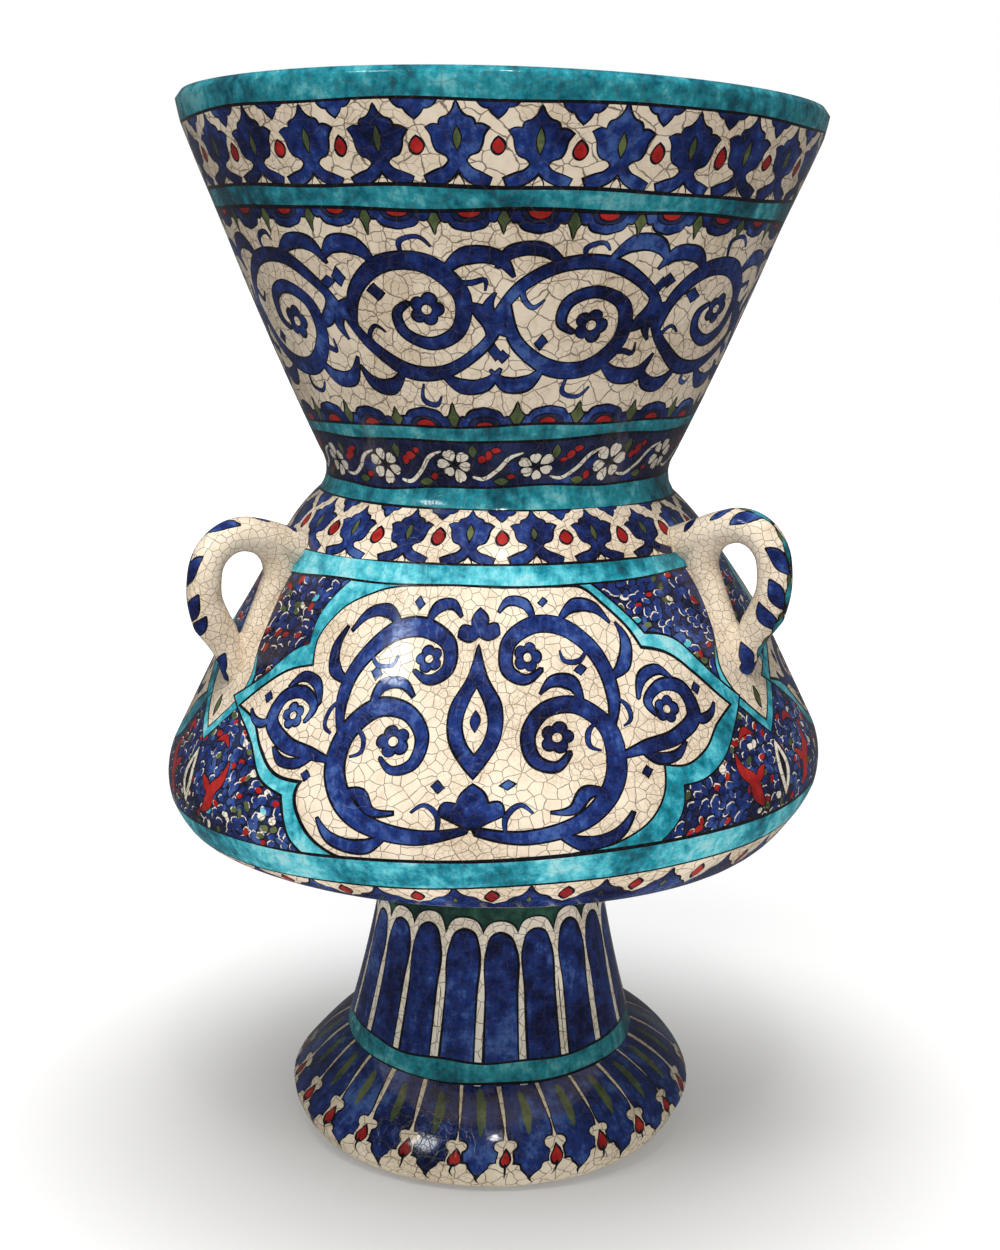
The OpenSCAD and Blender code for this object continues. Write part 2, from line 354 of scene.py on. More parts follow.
# %% Template lines
def arc(a, b, sag, step=1.0):
    """Points from a to b on an arc that swells by sag towards the outside of the pot."""
    a, b = np.array(a, float), np.array(b, float)
    chord = math.hypot(*(b - a))
    t = np.linspace(-1, 1, max(2, int(chord / step)) + 1)[:, None]
    if abs(sag) < 1e-6:
        return a + (b - a) * (t + 1) / 2
    half = 2 * math.atan(2 * sag / chord)
    side = np.array([b[1] - a[1], a[0] - b[0]]) / chord
    swell = (np.cos(half * t) - math.cos(half)) * chord / (2 * math.sin(half))
    return a + (b - a) * (0.5 + 0.5 * np.sin(half * t) / math.sin(half)) + side * swell


def template(*points):
    """A line through (radius, height) points. A third number swells the arc that leads there."""
    line = [np.array([points[0][:2]], float)]
    for before, after in zip(points, points[1:]):
        line.append(arc(before[:2], after[:2], after[2] if len(after) > 2 else 0)[1:])
    return np.concatenate(line)


print("stem line:", len(template((62, 45), (48, 116, -1))), "points")

# %% [markdown]
# The painter's strokes are flat outlines. A few points are joined by a smooth line, with corners
# where a third number says so. A brush stroke is a line with a width at each point. An even shape
# is drawn as its right half and turned over. Curve objects could do this too, but plain points
# can be cut into a mesh without a detour.


# %% Brush outlines
def smooth(points, closed=True, step=1.1):
    """A smooth line through the points, and how far along the list each of its points is."""
    xy = np.array([p[:2] for p in points], float)
    corner = [len(p) > 2 and p[2] > 0 for p in points]
    if not closed:
        corner[0] = corner[-1] = True
    count = len(xy)
    chord = np.roll(xy, -1, 0) - xy
    length = np.maximum(np.hypot(chord[:, 0], chord[:, 1]), 1e-6)
    way = chord / length[:, None]
    back, short = np.roll(way, 1, 0), np.roll(length, 1)
    slope = (way * short[:, None] + back * length[:, None]) / (length + short)[:, None]
    line, place = [], []
    for i in range(count if closed else count - 1):
        j = (i + 1) % count
        a = slope[i] if not corner[i] else (way[i] if corner[j] else 1.5 * way[i] - 0.5 * slope[j])
        b = slope[j] if not corner[j] else (way[i] if corner[i] else 1.5 * way[i] - 0.5 * slope[i])
        n = max(2, math.ceil(length[i] / step))
        t = (np.arange(n) / n)[:, None]
        line.append((2 * t**3 - 3 * t**2 + 1) * xy[i] + (t**3 - 2 * t**2 + t) * length[i] * a
                    + (3 * t**2 - 2 * t**3) * xy[j] + (t**3 - t**2) * length[i] * b)
        place.append(i + t[:, 0])
    if not closed:
        line.append(xy[-1:])
        place.append([count - 1])
    return np.concatenate(line), np.concatenate(place)


def shape(points, step=1.1):
    return smooth(points, True, step)[0]


def both_sides(right):
    """A closed outline from its right half, which starts and ends on the middle line."""
    left = [(-p[0],) + tuple(p[1:]) for p in right[-2:0:-1]]
    return shape(list(right) + left)


def brush(points, step=1.3):
    """The outline of a stroke through points of (x, y, width)."""
    line, place = smooth([p[:2] for p in points], False, step)
    width = np.interp(place, range(len(points)), [p[2] for p in points])
    width[1:-1] = (width[:-2] + 2 * width[1:-1] + width[2:]) / 4
    way = np.gradient(line, axis=0)
    way /= np.maximum(np.hypot(way[:, 0], way[:, 1]), 1e-9)[:, None]
    side = np.stack([-way[:, 1], way[:, 0]], 1) * width[:, None] / 2
    ends = [line[:1] - way[:1] * width[0] / 2.5] if width[0] > 0.8 else []
    tail = [line[-1:] + way[-1:] * width[-1] / 2.5] if width[-1] > 0.8 else []
    return np.concatenate([line - side] + tail + [(line + side)[::-1]] + ends)


print("a stroke has", len(brush([(0, 0, 1), (5, 5, 2), (10, 0, 1)])), "points")

# %% [markdown]
# A fine black contour parts each colour from the ground, and keeps one glaze from running into the
# next in the kiln. Here it is the outline of the colour, grown by the width of a fine brush, which
# presses a little more here and there.


# %% Contours and small shapes
def grown(outline, by):
    """An outline moved outwards, for the contour under a colour."""
    before, after = np.roll(outline, 1, 0), np.roll(outline, -1, 0)
    area = np.sum(outline[:, 0] * after[:, 1] - after[:, 0] * outline[:, 1])

    def outwards(way):
        way = way / np.maximum(np.hypot(way[:, 0], way[:, 1]), 1e-9)[:, None]
        return np.stack([way[:, 1], -way[:, 0]], 1) * np.sign(area)

    one, two = outwards(outline - before), outwards(after - outline)
    mitre = (one + two) / np.maximum(1 + np.sum(one * two, 1), 0.45)[:, None]
    press = 1 + 0.3 * np.sin(np.linspace(0, 4 * math.pi, len(outline)) + outline[0, 0])
    return outline + mitre * by * press[:, None]


def almond(half_width, half_height):
    return both_sides([(0, half_height, 1), (half_width, 0), (0, -half_height, 1)])


def scaled(right, across, up):
    """A closed outline from its right half, drawn to a width and a height."""
    return both_sides([(x * across, y * up, *more) for x, y, *more in right])


def seed_shape(half_width, half_height):
    """A plump seed with a small point on top."""
    right = [(0, 1, 1), (0.62, 0.55), (1, -0.1), (0.62, -0.78), (0, -1)]
    return scaled(right, half_width, half_height)


print("an almond has", len(almond(2, 4)), "points")

# %% [markdown]
# A skin is the painted outside of one section, rolled flat: angle across, length of the template
# line upwards. Shapes are laid on it in layers, contours under colours. Paint made this way has
# crisp edges at any distance, which a painted image doesn't.

# %% Painted skins
COLUMNS = 180


def drawn_by_hand(angle, s, length):
    """Lets every line wander by part of a millimetre, and keeps the two edges still."""
    calm = np.clip(np.minimum(s, length - s) / 6, 0, 1)
    up = 0.5 * np.sin(2 * angle + 0.5) + 0.4 * np.sin(5 * angle + s / 7) + 0.3 * np.sin(11 * angle - s / 5)
    return s + up * calm


def inside(points, outline):
    """Which points lie in an outline, by how often it winds round them."""
    x, y = points[:, :1], points[:, 1:]
    a, b = outline, np.roll(outline, -1, 0)
    left = (b[:, 0] - a[:, 0]) * (y - a[:, 1]) - (x - a[:, 0]) * (b[:, 1] - a[:, 1])
    up = (a[:, 1] <= y) & (b[:, 1] > y) & (left > 0)
    down = (a[:, 1] > y) & (b[:, 1] <= y) & (left < 0)
    return up.sum(1) != down.sum(1)


class Skin:
    """The outside of one section, with the shapes that are painted on it.

    Its line is in mm, and crackle is the width of a crackle cell. lean lifts the drawing on the right,
    and lowers it on the left, by an amount for each length up the skin.
    """

    def __init__(self, line, crackle, ground=CREAM):
        self.line = line
        self.crackle = crackle
        steps = np.hypot(*np.diff(line, axis=0).T)
        self.along = np.concatenate([[0], np.cumsum(steps)])
        self.length = self.along[-1]
        self.mean = float(line[:, 0].mean())
        self.ground = ground
        self.lean = ([0], [0])
        self.shapes = []

    def at(self, z):
        """How far along the skin a height is."""
        top = int(np.argmax(self.line[:, 1])) + 1
        return float(np.interp(z, self.line[:top, 1], self.along[:top]))

    def radius(self, s):
        return np.interp(s, self.along, self.line[:, 0])

    def lay(self, layer, pigment, angle, s):
        """Adds an outline in radians and mm. Angles are drawn from the middle of the picture."""
        self.shapes.append((layer, pigment, np.stack([angle + SEEN_FROM, s], 1)))

    def paint(self, outline, pigment, degrees, s, layer=1, contour=0.0):
        """Lays an outline in mm round its own centre at an angle and a length up the skin."""
        reach = self.radius(s)
        for depth, tint, edge in ((0, BLACK, contour), (0.5, pigment, 0)):
            if depth or contour:
                drawn = grown(outline, edge) if edge else outline
                self.lay(layer + depth, tint, math.radians(degrees) + drawn[:, 0] / reach, s + drawn[:, 1])

    def band(self, low, high, pigment, layer=1, contour=0.0, tilt=0.0):
        """A band right round, with a contour above and below it. tilt lifts its right side."""
        n = 2 * COLUMNS
        angle = np.linspace(-math.pi, math.pi, n + 1)
        angle = np.concatenate([[angle[0] - 0.15], angle, [angle[-1] + 0.15]])
        wave = 0.35 * np.sin(3 * angle + low) + 0.25 * np.sin(8 * angle + high)
        lean = tilt * np.sin(angle)
        for depth, tint, edge in ((0, BLACK, contour), (0.5, pigment, 0)):
            if depth or contour:
                edges = np.concatenate([low - edge + wave + lean, (high + edge - wave + lean)[::-1]])
                self.lay(layer + depth, tint, np.concatenate([angle, angle[::-1]]), edges)


print("a skin has", COLUMNS, "columns round the lamp")

# %% [markdown]
# The sheet is cut along every contour by a triangulation that keeps given edges. Then each triangle
# takes the pigment of the topmost shape over it. Booleans could cut the strokes out one by one, but
# there are thousands of them, and one triangulation does them all.


# %% Cutting the sheet
def flat_sheet(skin):
    """Cuts the flat sheet along all contours: its points, triangles and pigments."""
    wide = 2 * math.pi * skin.mean
    across = np.linspace(-wide / 2, wide / 2, COLUMNS + 1)
    rows = np.linspace(0, skin.length, max(2, round(skin.length / 4)) + 1)
    points = [np.stack(np.meshgrid(across, rows), -1).reshape(-1, 2)]
    edge_rows = [np.arange(COLUMNS + 1), (len(rows) - 1) * (COLUMNS + 1) + np.arange(COLUMNS + 1)]
    sides = [np.arange(len(rows)) * (COLUMNS + 1), np.arange(len(rows)) * (COLUMNS + 1) + COLUMNS]
    edges = [np.stack([run[:-1], run[1:]], 1) for run in edge_rows + sides]
    count = len(points[0])
    cuts = []
    for layer, pigment, drawn in sorted(skin.shapes, key=lambda row: row[0]):
        angle, s = drawn.T
        s = s + np.interp(s, *skin.lean) * np.sin(angle)
        sheet = np.stack([angle * skin.mean, drawn_by_hand(angle, s, skin.length)], 1)
        turns = [0]
        if np.ptp(angle) < 2 * math.pi:
            turns += [-1] * (angle.max() > math.pi) + [1] * (angle.min() < -math.pi)
        for k in turns:
            cut = sheet + (k * wide, 0)
            run = count + np.arange(len(cut))
            points.append(cut)
            edges.append(np.stack([run, np.roll(run, -1)], 1))
            cuts.append((pigment, cut))
            count += len(cut)
    points, edges = np.concatenate(points), np.concatenate(edges)
    made = delaunay_2d_cdt([Vector(p) for p in points.tolist()], edges.tolist(), [], 0, 1e-5, False)
    points = np.array([v[:] for v in made[0]])
    faces = np.array(made[2])
    middle = points[faces].mean(1)
    on_sheet = (np.abs(middle[:, 0]) < wide / 2) & (middle[:, 1] > 0) & (middle[:, 1] < skin.length)
    faces, middle = faces[on_sheet], middle[on_sheet]
    order = np.argsort(middle[:, 0])
    faces, middle = faces[order], middle[order]
    pigments = np.full(len(faces), skin.ground)
    for pigment, cut in cuts:
        low, high = cut.min(0), cut.max(0)
        first, last = np.searchsorted(middle[:, 0], (low[0], high[0]))
        level = middle[first:last, 1]
        near = first + np.flatnonzero((level > low[1]) & (level < high[1]))
        pigments[near[inside(middle[near], cut)]] = pigment
    return points, faces, pigments


print("sheets are cut by", delaunay_2d_cdt.__name__)

# %% [markdown]
# The cut sheet is rolled round the lamp, and the points on its two sides are joined into one seam.
# The normals come from the template line and not from the triangles, so that the many thin slivers
# along the contours don't show in the shine of the glaze.

# %% Rolling the sheet
SKIN_FROM, SKIN_SHARE = 0.02, 0.76
ON_EDGE = 1e-4


def rolled(angle, r, z):
    """Points round the lamp, from their angle, radius and height."""
    return np.stack([r * np.sin(angle), -r * np.cos(angle), z], -1)


def rolled_skin(skin):
    """The painted side of a section: its sheet, seam, points, faces, charts, normals and pigments."""
    sheet, faces, pigments = flat_sheet(skin)
    wide = 2 * math.pi * skin.mean
    used = np.unique(faces)
    lookup = np.full(len(sheet), -1)
    lookup[used] = np.arange(len(used))
    sheet, faces = sheet[used], lookup[faces]
    angle, s = sheet[:, 0] / skin.mean, np.clip(sheet[:, 1], 0, skin.length)
    slope = np.gradient(skin.line, skin.along, axis=0)
    out = np.stack([slope[:, 1], -slope[:, 0]], 1)
    out /= np.hypot(out[:, 0], out[:, 1])[:, None]
    facing = rolled(angle, *(np.interp(s, skin.along, column) for column in out.T))
    left = np.flatnonzero(sheet[:, 0] < -wide / 2 + ON_EDGE)
    joined = np.arange(len(sheet))
    for k in np.flatnonzero(sheet[:, 0] > wide / 2 - ON_EDGE):
        twin = left[np.argmin(np.abs(sheet[left, 1] - sheet[k, 1]))]
        if abs(sheet[twin, 1] - sheet[k, 1]) < 0.01:
            joined[k] = twin
    spots = rolled(angle, skin.radius(s), np.interp(s, skin.along, skin.line[:, 1]))
    chart = np.stack([sheet[:, 0] / wide + 0.5, SKIN_FROM + SKIN_SHARE * sheet[:, 1] / skin.length], 1)
    return sheet, joined, [spots], list(joined[faces]), list(chart[faces]), list(facing[faces]), pigments


print("a quarter turn from the front:", rolled(math.pi / 2, 1, 0).round(3).tolist())

# %% [markdown]
# A pot has a wall, so the plain inside is turned from its own line, ring by ring, and joined to the
# two edges of the skin. The section is then one closed solid, as it is in clay.

# %% The wall behind a skin
REST_FROM, REST_SHARE = 0.80, 0.18
SOFT_BEND = math.cos(math.radians(40))


def wall_behind(skin, rest, sheet, joined):
    """The plain side of a section: its points, faces, charts and normals, and how long its line is."""
    path = np.concatenate([skin.line[-1:], rest, skin.line[:1]])
    way = np.diff(path, axis=0)
    steps = np.hypot(way[:, 0], way[:, 1])
    way /= np.maximum(steps, 1e-9)[:, None]
    flank = np.stack([way[:, 1], -way[:, 0]], 1)
    rise = np.concatenate([[0], np.cumsum(steps)])
    around_rest = rise[-1]
    rise = REST_FROM + REST_SHARE * rise / around_rest
    ring = np.linspace(-math.pi, math.pi, COLUMNS + 1)

    def edge_ring(level):
        """The points on one edge of the sheet in their order round the lamp, as (angle, number)."""
        on = np.flatnonzero((np.abs(sheet[:, 1] - level) < ON_EDGE) & (joined == np.arange(len(sheet))))
        on = on[np.argsort(sheet[on, 0] / skin.mean)]
        return list(zip(np.append(sheet[on, 0] / skin.mean, math.pi), np.append(on, on[0])))

    rows, spots, total = [edge_ring(skin.length)], [], len(sheet)
    for r, z in rest:
        spots.append(rolled(ring[:-1], np.full(COLUMNS, r), np.full(COLUMNS, z)))
        run = total + np.arange(COLUMNS)
        rows.append(list(zip(ring, np.append(run, run[0]))))
        total += COLUMNS
    rows.append(edge_ring(0))
    loops, charts, normals = [], [], []
    for k, (low, high) in enumerate(zip(rows, rows[1:])):
        a = b = flank[k]
        if k and flank[k] @ flank[k - 1] > SOFT_BEND:
            a = flank[k] + flank[k - 1]
        if k + 1 < len(flank) and flank[k] @ flank[k + 1] > SOFT_BEND:
            b = flank[k] + flank[k + 1]
        i = j = 0
        while i < len(low) - 1 or j < len(high) - 1:
            if j == len(high) - 1 or (i < len(low) - 1 and low[i + 1][0] <= high[j + 1][0]):
                corners = ((low[i], 0), (low[i + 1], 0), (high[j], 1))
                i += 1
            else:
                corners = ((low[i], 0), (high[j + 1], 1), (high[j], 1))
                j += 1
            loops.append([c[1] for c, _ in corners])
            charts.append([(c[0] / (2 * math.pi) + 0.5, rise[k + up]) for c, up in corners])
            normals.append([rolled(c[0], *(b if up else a)) for c, up in corners])
    return spots, loops, charts, normals, around_rest


print("bends up to", round(math.degrees(math.acos(SOFT_BEND))), "degrees are shaded softly")

# %% [markdown]
# Both sides become one mesh in metres. It keeps what the glaze reads: a pigment on each face, and
# on each corner where it lies on the flat sheet, counted in cells of the crackle. The points are
# shifted before that, because no section of this lamp is quite level.


# %% A section in place of a node
def keep(mesh, name, kind, domain, values):
    """Keeps a number or a vector on each face, corner or point of a mesh, for the glaze to read."""
    key = "vector" if kind == "FLOAT_VECTOR" else "value"
    mesh.attributes.new(name, kind, domain).data.foreach_set(key, values.astype("f4").ravel())


def build(skin, name, rest, node, shift):
    """Makes a section from its skin and the rest of its wall, shifts its points, and hides the node it stands
    in for.
    """
    sheet, joined, spots, loops, charts, normals, pigments = rolled_skin(skin)
    behind = wall_behind(skin, rest, sheet, joined)
    plain_spots, plain_loops, plain_charts, plain_normals, around_rest = behind
    scale = np.concatenate([np.full((3 * len(loops), 1), skin.length / SKIN_SHARE),
                            np.full((3 * len(plain_loops), 1), around_rest / REST_SHARE)])
    pigments = np.concatenate([pigments, np.full(len(plain_loops), CREAM)])
    loops += plain_loops
    charts = np.concatenate(charts + plain_charts)
    wide = 2 * math.pi * skin.mean
    sheets = np.concatenate([charts[:, :1] * wide, charts[:, 1:] * scale, 0 * scale], 1) / skin.crackle
    spots = shift(np.concatenate(spots + plain_spots)) / 1000
    ways = np.concatenate(normals + plain_normals)

    mesh = bpy.data.meshes.new(name)
    mesh.from_pydata(spots.tolist(), [], [[int(v) for v in f] for f in loops])
    mesh.polygons.foreach_set("use_smooth", np.ones(len(loops), bool))
    mesh.uv_layers.new(name="OFBake")
    mesh.uv_layers["OFBake"].data.foreach_set("uv", charts.astype("f4").ravel())
    keep(mesh, "sheet", "FLOAT_VECTOR", "CORNER", sheets)
    keep(mesh, "pigment", "FLOAT", "FACE", pigments)
    mesh.normals_split_custom_set((ways / np.linalg.norm(ways, axis=1)[:, None]).tolist())
    mesh.materials.append(glaze)
    piece = in_scene(name, mesh)
    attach(piece, "lamp")
    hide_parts(node)
    print(name, "has", len(skin.shapes), "shapes and", len(loops), "faces")


def around(count, first=0.0):
    """The angles of a motif that goes round the lamp, each a little off."""
    return first + np.arange(count) * 360 / count + rng.normal(0, 0.25, count)


def about(outline, size=0.05):
    """The same outline drawn again by hand, a little larger or smaller."""
    return outline * (1 + rng.normal(0, size, 2))


print("sections are built from a skin and a plain wall")

# %% [markdown]
# Two borders come back on the lamp. The first is a row of blue lotus palmettes with red seeds
# between them, under blue crowns. The second is a low crest of clouds with red hearts and green
# darts. Each is drawn once for a cell of a given width and height, so that the same drawing fits
# the neck and the shoulder.


# %% The two borders
def palmette_border(skin, low, high, count, first, seed=2.3):
    """Lotus palmettes from low to high on a skin, with seeds half way between them."""
    tall = high - low
    wide = 2 * math.pi * skin.radius((low + high) / 2) / count
    lotus = scaled([
        (0, 0.97, 1), (0.04, 0.87), (0.11, 0.80), (0.19, 0.77), (0.215, 0.69, 1), (0.29, 0.70),
        (0.375, 0.66, 1), (0.315, 0.56), (0.30, 0.47), (0.25, 0.37), (0.15, 0.33), (0.105, 0.27),
        (0.17, 0.185), (0.29, 0.14), (0.42, 0.085, 1), (0.37, -0.03, 1), (0.22, 0.01), (0.10, 0.07),
        (0, 0.175, 1)], wide, tall)
    crown = scaled([
        (0, 1.05, 1), (0.25, 1.05, 1), (0.225, 0.955), (0.15, 0.90), (0.105, 0.90, 1), (0.075, 0.845),
        (0, 0.775, 1)], wide, tall)
    bud = scaled([(0, 0.11, 1), (0.055, 0.03), (0.06, -0.06, 1), (0, -0.06, 1)], wide, tall)
    for degrees in around(count, first):
        skin.paint(about(lotus, 0.03), COBALT, degrees, low, 3, 0.75)
        skin.paint(about(almond(0.045 * wide, 0.14 * tall)), GREEN, degrees, low + 0.53 * tall, 5, 0.55)
        skin.paint(bud, CREAM, degrees, low, 5, 0.5)
        half = degrees + 180 / count
        skin.paint(about(crown, 0.04), COBALT, half, low, 3, 0.7)
        skin.paint(about(seed_shape(seed, seed * 1.4), 0.07), RED, half, low + 0.45 * tall, 5, 0.85)


def cloud_crest(skin, s, count, first, way):
    """A crest of blue clouds along a band's edge. way is 1 for upwards and -1 for downwards."""
    wide = 2 * math.pi * skin.radius(s + 4 * way) / count
    cloud = scaled([
        (0, -1, 1), (0.46, -1, 1), (0.45, 2.2), (0.37, 4.6), (0.30, 4.2, 1), (0.24, 6.6), (0.12, 7.6, 1),
        (0, 8.2)], wide, way)
    heart = scaled([(0, -0.8, 1), (0.17, -0.8, 1), (0.13, 2.1), (0, 3.3)], wide, way)
    petal = scaled([(0, -0.8, 1), (0.27, -0.8, 1), (0.2, 3.5), (0, 4.8)], wide, way)
    dart = scaled([(0, 0, 1), (1.3, 2.2), (2.4, 4.6, 1), (1.1, 6.6), (0, 10.6, 1)], 1, way)
    for degrees in around(count, first):
        skin.paint(about(dart, 0.06), GREEN, degrees, s, 5, 0.6)
        skin.paint(about(cloud, 0.03), COBALT, degrees + 180 / count, s, 3, 0.8)
        skin.paint(petal, DEEP, degrees + 180 / count, s, 4.2, 0.45)
        skin.paint(about(heart, 0.06), RED, degrees + 180 / count, s, 5, 0.6)


print("borders ready")

# %% [markdown]
# The neck is a funnel that was thrown in one piece, and it carries the largest border, a broad
# cream field and a band of flowers. Its template runs over the rim and a little way down inside,
# so that the turquoise of the lip is painted in the same go.

# %% Neck
RIM_OUT, RIM_HEIGHT, RIM_ROUND = 130.75, 446.25, 3.75
rim = [(RIM_OUT + RIM_ROUND * math.cos(a), RIM_HEIGHT + RIM_ROUND * math.sin(a))
       for a in np.linspace(0, math.pi, 13)]
neck_line = np.concatenate([
    template((75.5, 284), (75.5, 300, -2.5), (132.5, 437.5, 2), (134.5, RIM_HEIGHT)), rim[1:],
    template((127, RIM_HEIGHT), (125.2, 438))[1:]])
neck = Skin(neck_line, 7.5)
z = neck.at
neck.lean = ([z(h) for h in (284, 290, 312, 318, 395, 407, 438, 446)], [0, 1.4, 2.2, 2.2, -1.5, -1.5, 0.5, 0])
neck.band(z(438.7), neck.length + 3, TEAL, 6, 1.2)
neck.band(z(399.9), z(406.6), TEAL, 6, 1.6)
neck.band(z(311.9), z(316.6), TEAL, 6, 1.2)
neck.band(-2, z(291.4), TEAL, 6, 1.0)
palmette_border(neck, z(407.8), z(438.3), 27, 6.2)
cloud_crest(neck, z(399.5), 28, 0.6, -1)
cloud_crest(neck, z(316.8), 22, 5, 1)
print("neck borders:", len(neck.shapes), "shapes")

# %% [markdown]
# One scroll of stems with split leaves fills the cream field ten times over, every second one
# upside down. A painter draws such a stem in one pull of a loaded brush, so each stroke is a line
# whose width swells and thins. All of them are varied a little, as a hand does.


# %% Neck scrolls
def lotus_on(x, y, size):
    """A flower head of five round petals, and its heart."""
    turns = np.linspace(0, 2 * math.pi, 70, endpoint=False)
    edge = size * (0.6 + 0.4 * np.abs(np.cos(2.5 * turns)) ** 0.6)
    ring = np.stack([np.cos(turns), np.sin(turns)], 1)
    return ring * edge[:, None] + (x, y), ring * 0.3 * size + (x, y)


def dot_on(x, y, size=2.7):
    """The lozenge that a reed pen leaves."""
    return about(shape([(size, 0.3, 1), (0.2, size, 1), (-size, -0.3, 1),
                        (-0.2, -size, 1)]), 0.12) + (x, y)


SCROLLS = 10
field = z(359.5)
scroll_lines = [
    [(-33, -1, 2.8), (-23, 13, 4.0), (-8, 22.5, 5.0), (8, 22.5, 4.6), (23, 13, 3.8), (33, -1, 2.8)],
    [(-29, 5, 1.5), (-25.5, -9, 4.5), (-12, -20.5, 6.2), (6, -20, 6.7), (17, -8, 5.8),
     (14.5, 5.5, 5.0), (3, 11, 4.3), (-7.5, 5.5, 3.6), (-8.5, -2.5, 2.6), (-4, -6, 1.0)],
    [(-14, -20, 1.2), (-21, -27.5, 5.8), (-30, -28, 5.2), (-36, -22, 0.6)],
    [(10, -17.5, 1.2), (19, -25.5, 6.4), (28.5, -25, 5.7), (34.5, -17, 0.6)],
    [(17, -6, 1.0), (24, -2, 5.2), (27.5, 5, 4.0), (25, 11, 0.6)],
    [(6, 23, 1.2), (15, 30, 5.7), (25, 29, 5.0), (31, 22.5, 0.6)],
    [(-10, 22, 1.2), (-18, 29, 5.5), (-27, 27.5, 4.8), (-32, 21, 0.6)],
    [(-26, -7, 1.0), (-32, -3, 4.5), (-35.5, 4, 3.3), (-33, 9.5, 0.6)]]
tendrils = [[(11, -15, 0.6), (20, -13, 1.7), (25, -14, 1.5), (25, -10, 0.5)],
            [(-20, 15, 0.6), (-24, 9, 1.7), (-20, 4, 1.4), (-16, 7, 0.5)],
            [(-3, -23, 0.6), (-4, -30, 1.8), (3, -32, 1.5), (7, -28, 0.5)],
            [(-2, 25, 0.6), (-3, 31, 1.7), (3, 33, 1.4), (5, 30, 0.5)]]
for k in range(SCROLLS):
    degrees = (k + 0.5) * 360 / SCROLLS + rng.normal(0, 0.4)
    flip = np.array([1, -1]) if k % 2 else np.array([1, 1])
    for line in scroll_lines:
        neck.paint(about(brush(line), 0.02) * flip, COBALT, degrees, field, 3, 0.75)
    for line in tendrils:
        neck.paint(about(brush(line), 0.05) * flip, COBALT, degrees, field, 3, 0.35)
    head, heart = lotus_on(3.2, -3.6, 6.4)
    neck.paint(head * flip, COBALT, degrees, field, 4, 0.75)
    neck.paint(heart * flip, CREAM, degrees, field, 5, 0.6)
    for x, y in ((29, 14), (-16, -10), (-31, -16)):
        neck.paint(dot_on(x, y) * flip, COBALT, degrees, field, 3, 0.6)
print("neck field:", len(neck.shapes), "shapes so far")

# %% [markdown]
# White flowers on a vine run round the dark waist, with dabs of red and green. The rim of the real
# lamp is a little lower at the back and right than at the front left, as a wide rim sinks in the
# kiln. So the finished mesh sinks by a few millimetres there, after the paint is on it.


# %% Neck flowers
def rosette(skin, degrees, s, size, petals=6):
    """A white flower with a black heart."""
    start = rng.uniform(0, 2 * math.pi)
    for k in range(petals):
        a = start + 2 * math.pi * k / petals
        petal = both_sides([(0, 0.26, 1), (0.27, 0.55), (0.30, 0.82), (0.08, 0.98), (0, 0.90, 1)]) * size
        turned = about(petal, 0.08) @ np.array([[math.cos(a), math.sin(a)], [-math.sin(a), math.cos(a)]])
        skin.paint(turned, WHITE, degrees, s, 5, 0.5)
    skin.paint(shape([(0.2, 0), (0, 0.2), (-0.2, 0), (0, -0.2)], 0.5) * size, BLACK, degrees, s, 6)


neck.band(z(288), z(313), DEEP, 2)
FLOWERS = 15
flowers = z(300.8)
vine = [(-9, -5.2, 0.9), (-5, -6, 1.5), (1, -2, 1.7), (6, 4, 1.6), (11, 6.2, 0.7)]
leaf = both_sides([(0, 3.2, 1), (1.5, 0.4), (0, -3, 1)])
for degrees in around(FLOWERS, 11.5):
    rosette(neck, degrees, flowers, 7.4)
    between = degrees + 180 / FLOWERS
    neck.paint(about(brush(vine), 0.05), WHITE, between, flowers, 5, 0.4)
    for x, y, size in ((-2.4, 4.6, 2.2), (-5.0, 2.6, 1.7), (0.4, 7.0, 1.6), (6.5, -5, 1.7)):
        dab = shape([(1, 0), (0.2, 0.9), (-0.9, 0.3), (-0.5, -0.8)], 0.6) * size
        neck.paint(about(dab, 0.2) + (x, y), RED, between, flowers, 5, 0.35)
    neck.paint(leaf + (-8.5, 6.5), GREEN, between, flowers, 5, 0.35)
    neck.paint(leaf[:, ::-1] + (2.5, -7), GREEN, between, flowers, 5, 0.35)
    blot = shape([(4, 0), (1, 2.2), (-3.6, 1), (-2, -2)], 0.8)
    neck.paint(about(blot, 0.2) + (8, 0), COBALT, between, flowers, 3)
    neck.paint(about(blot, 0.2) + (-3, -8), COBALT, between, flowers, 3)


def sunk_rim(spots):
    """Lowers the rim a little at the back and right."""
    angle = np.arctan2(spots[:, 0], -spots[:, 1])
    t = np.clip((spots[:, 2] - 385) / 65, 0, 1)
    sink = 0.3 + 3.6 * (1 - np.cos(angle + math.radians(25))) + 1.3 * (1 - np.cos(2 * angle))
    spots[:, 2] -= sink * t * t * (3 - 2 * t)
    return spots


neck_rest = np.concatenate([template((125, 437.5), (68, 300, -2))[::2], [(68, 284)]])
build(neck, "neck", neck_rest, "neck_funnel", sunk_rim)

# %% [markdown]
# The shoulder repeats the palmettes in a smaller cell, between the turquoise lines of the neck and
# the body. The real belly stands a little higher on the right. Its sections are tilted for that
# after they are turned, which is what clay does when it slumps, and the seams still meet.

# %% Shoulder
BELLY_TILT = 0.04


def lopsided(spots):
    """Lifts the right side of the belly and lowers its left side, most at mid height."""
    low = np.clip((spots[:, 2] - 128) / 20, 0, 1)
    high = np.clip((284 - spots[:, 2]) / 49, 0, 1)
    spots[:, 2] += BELLY_TILT * spots[:, 0] * low * low * (3 - 2 * low) * high * high * (3 - 2 * high)
    return spots


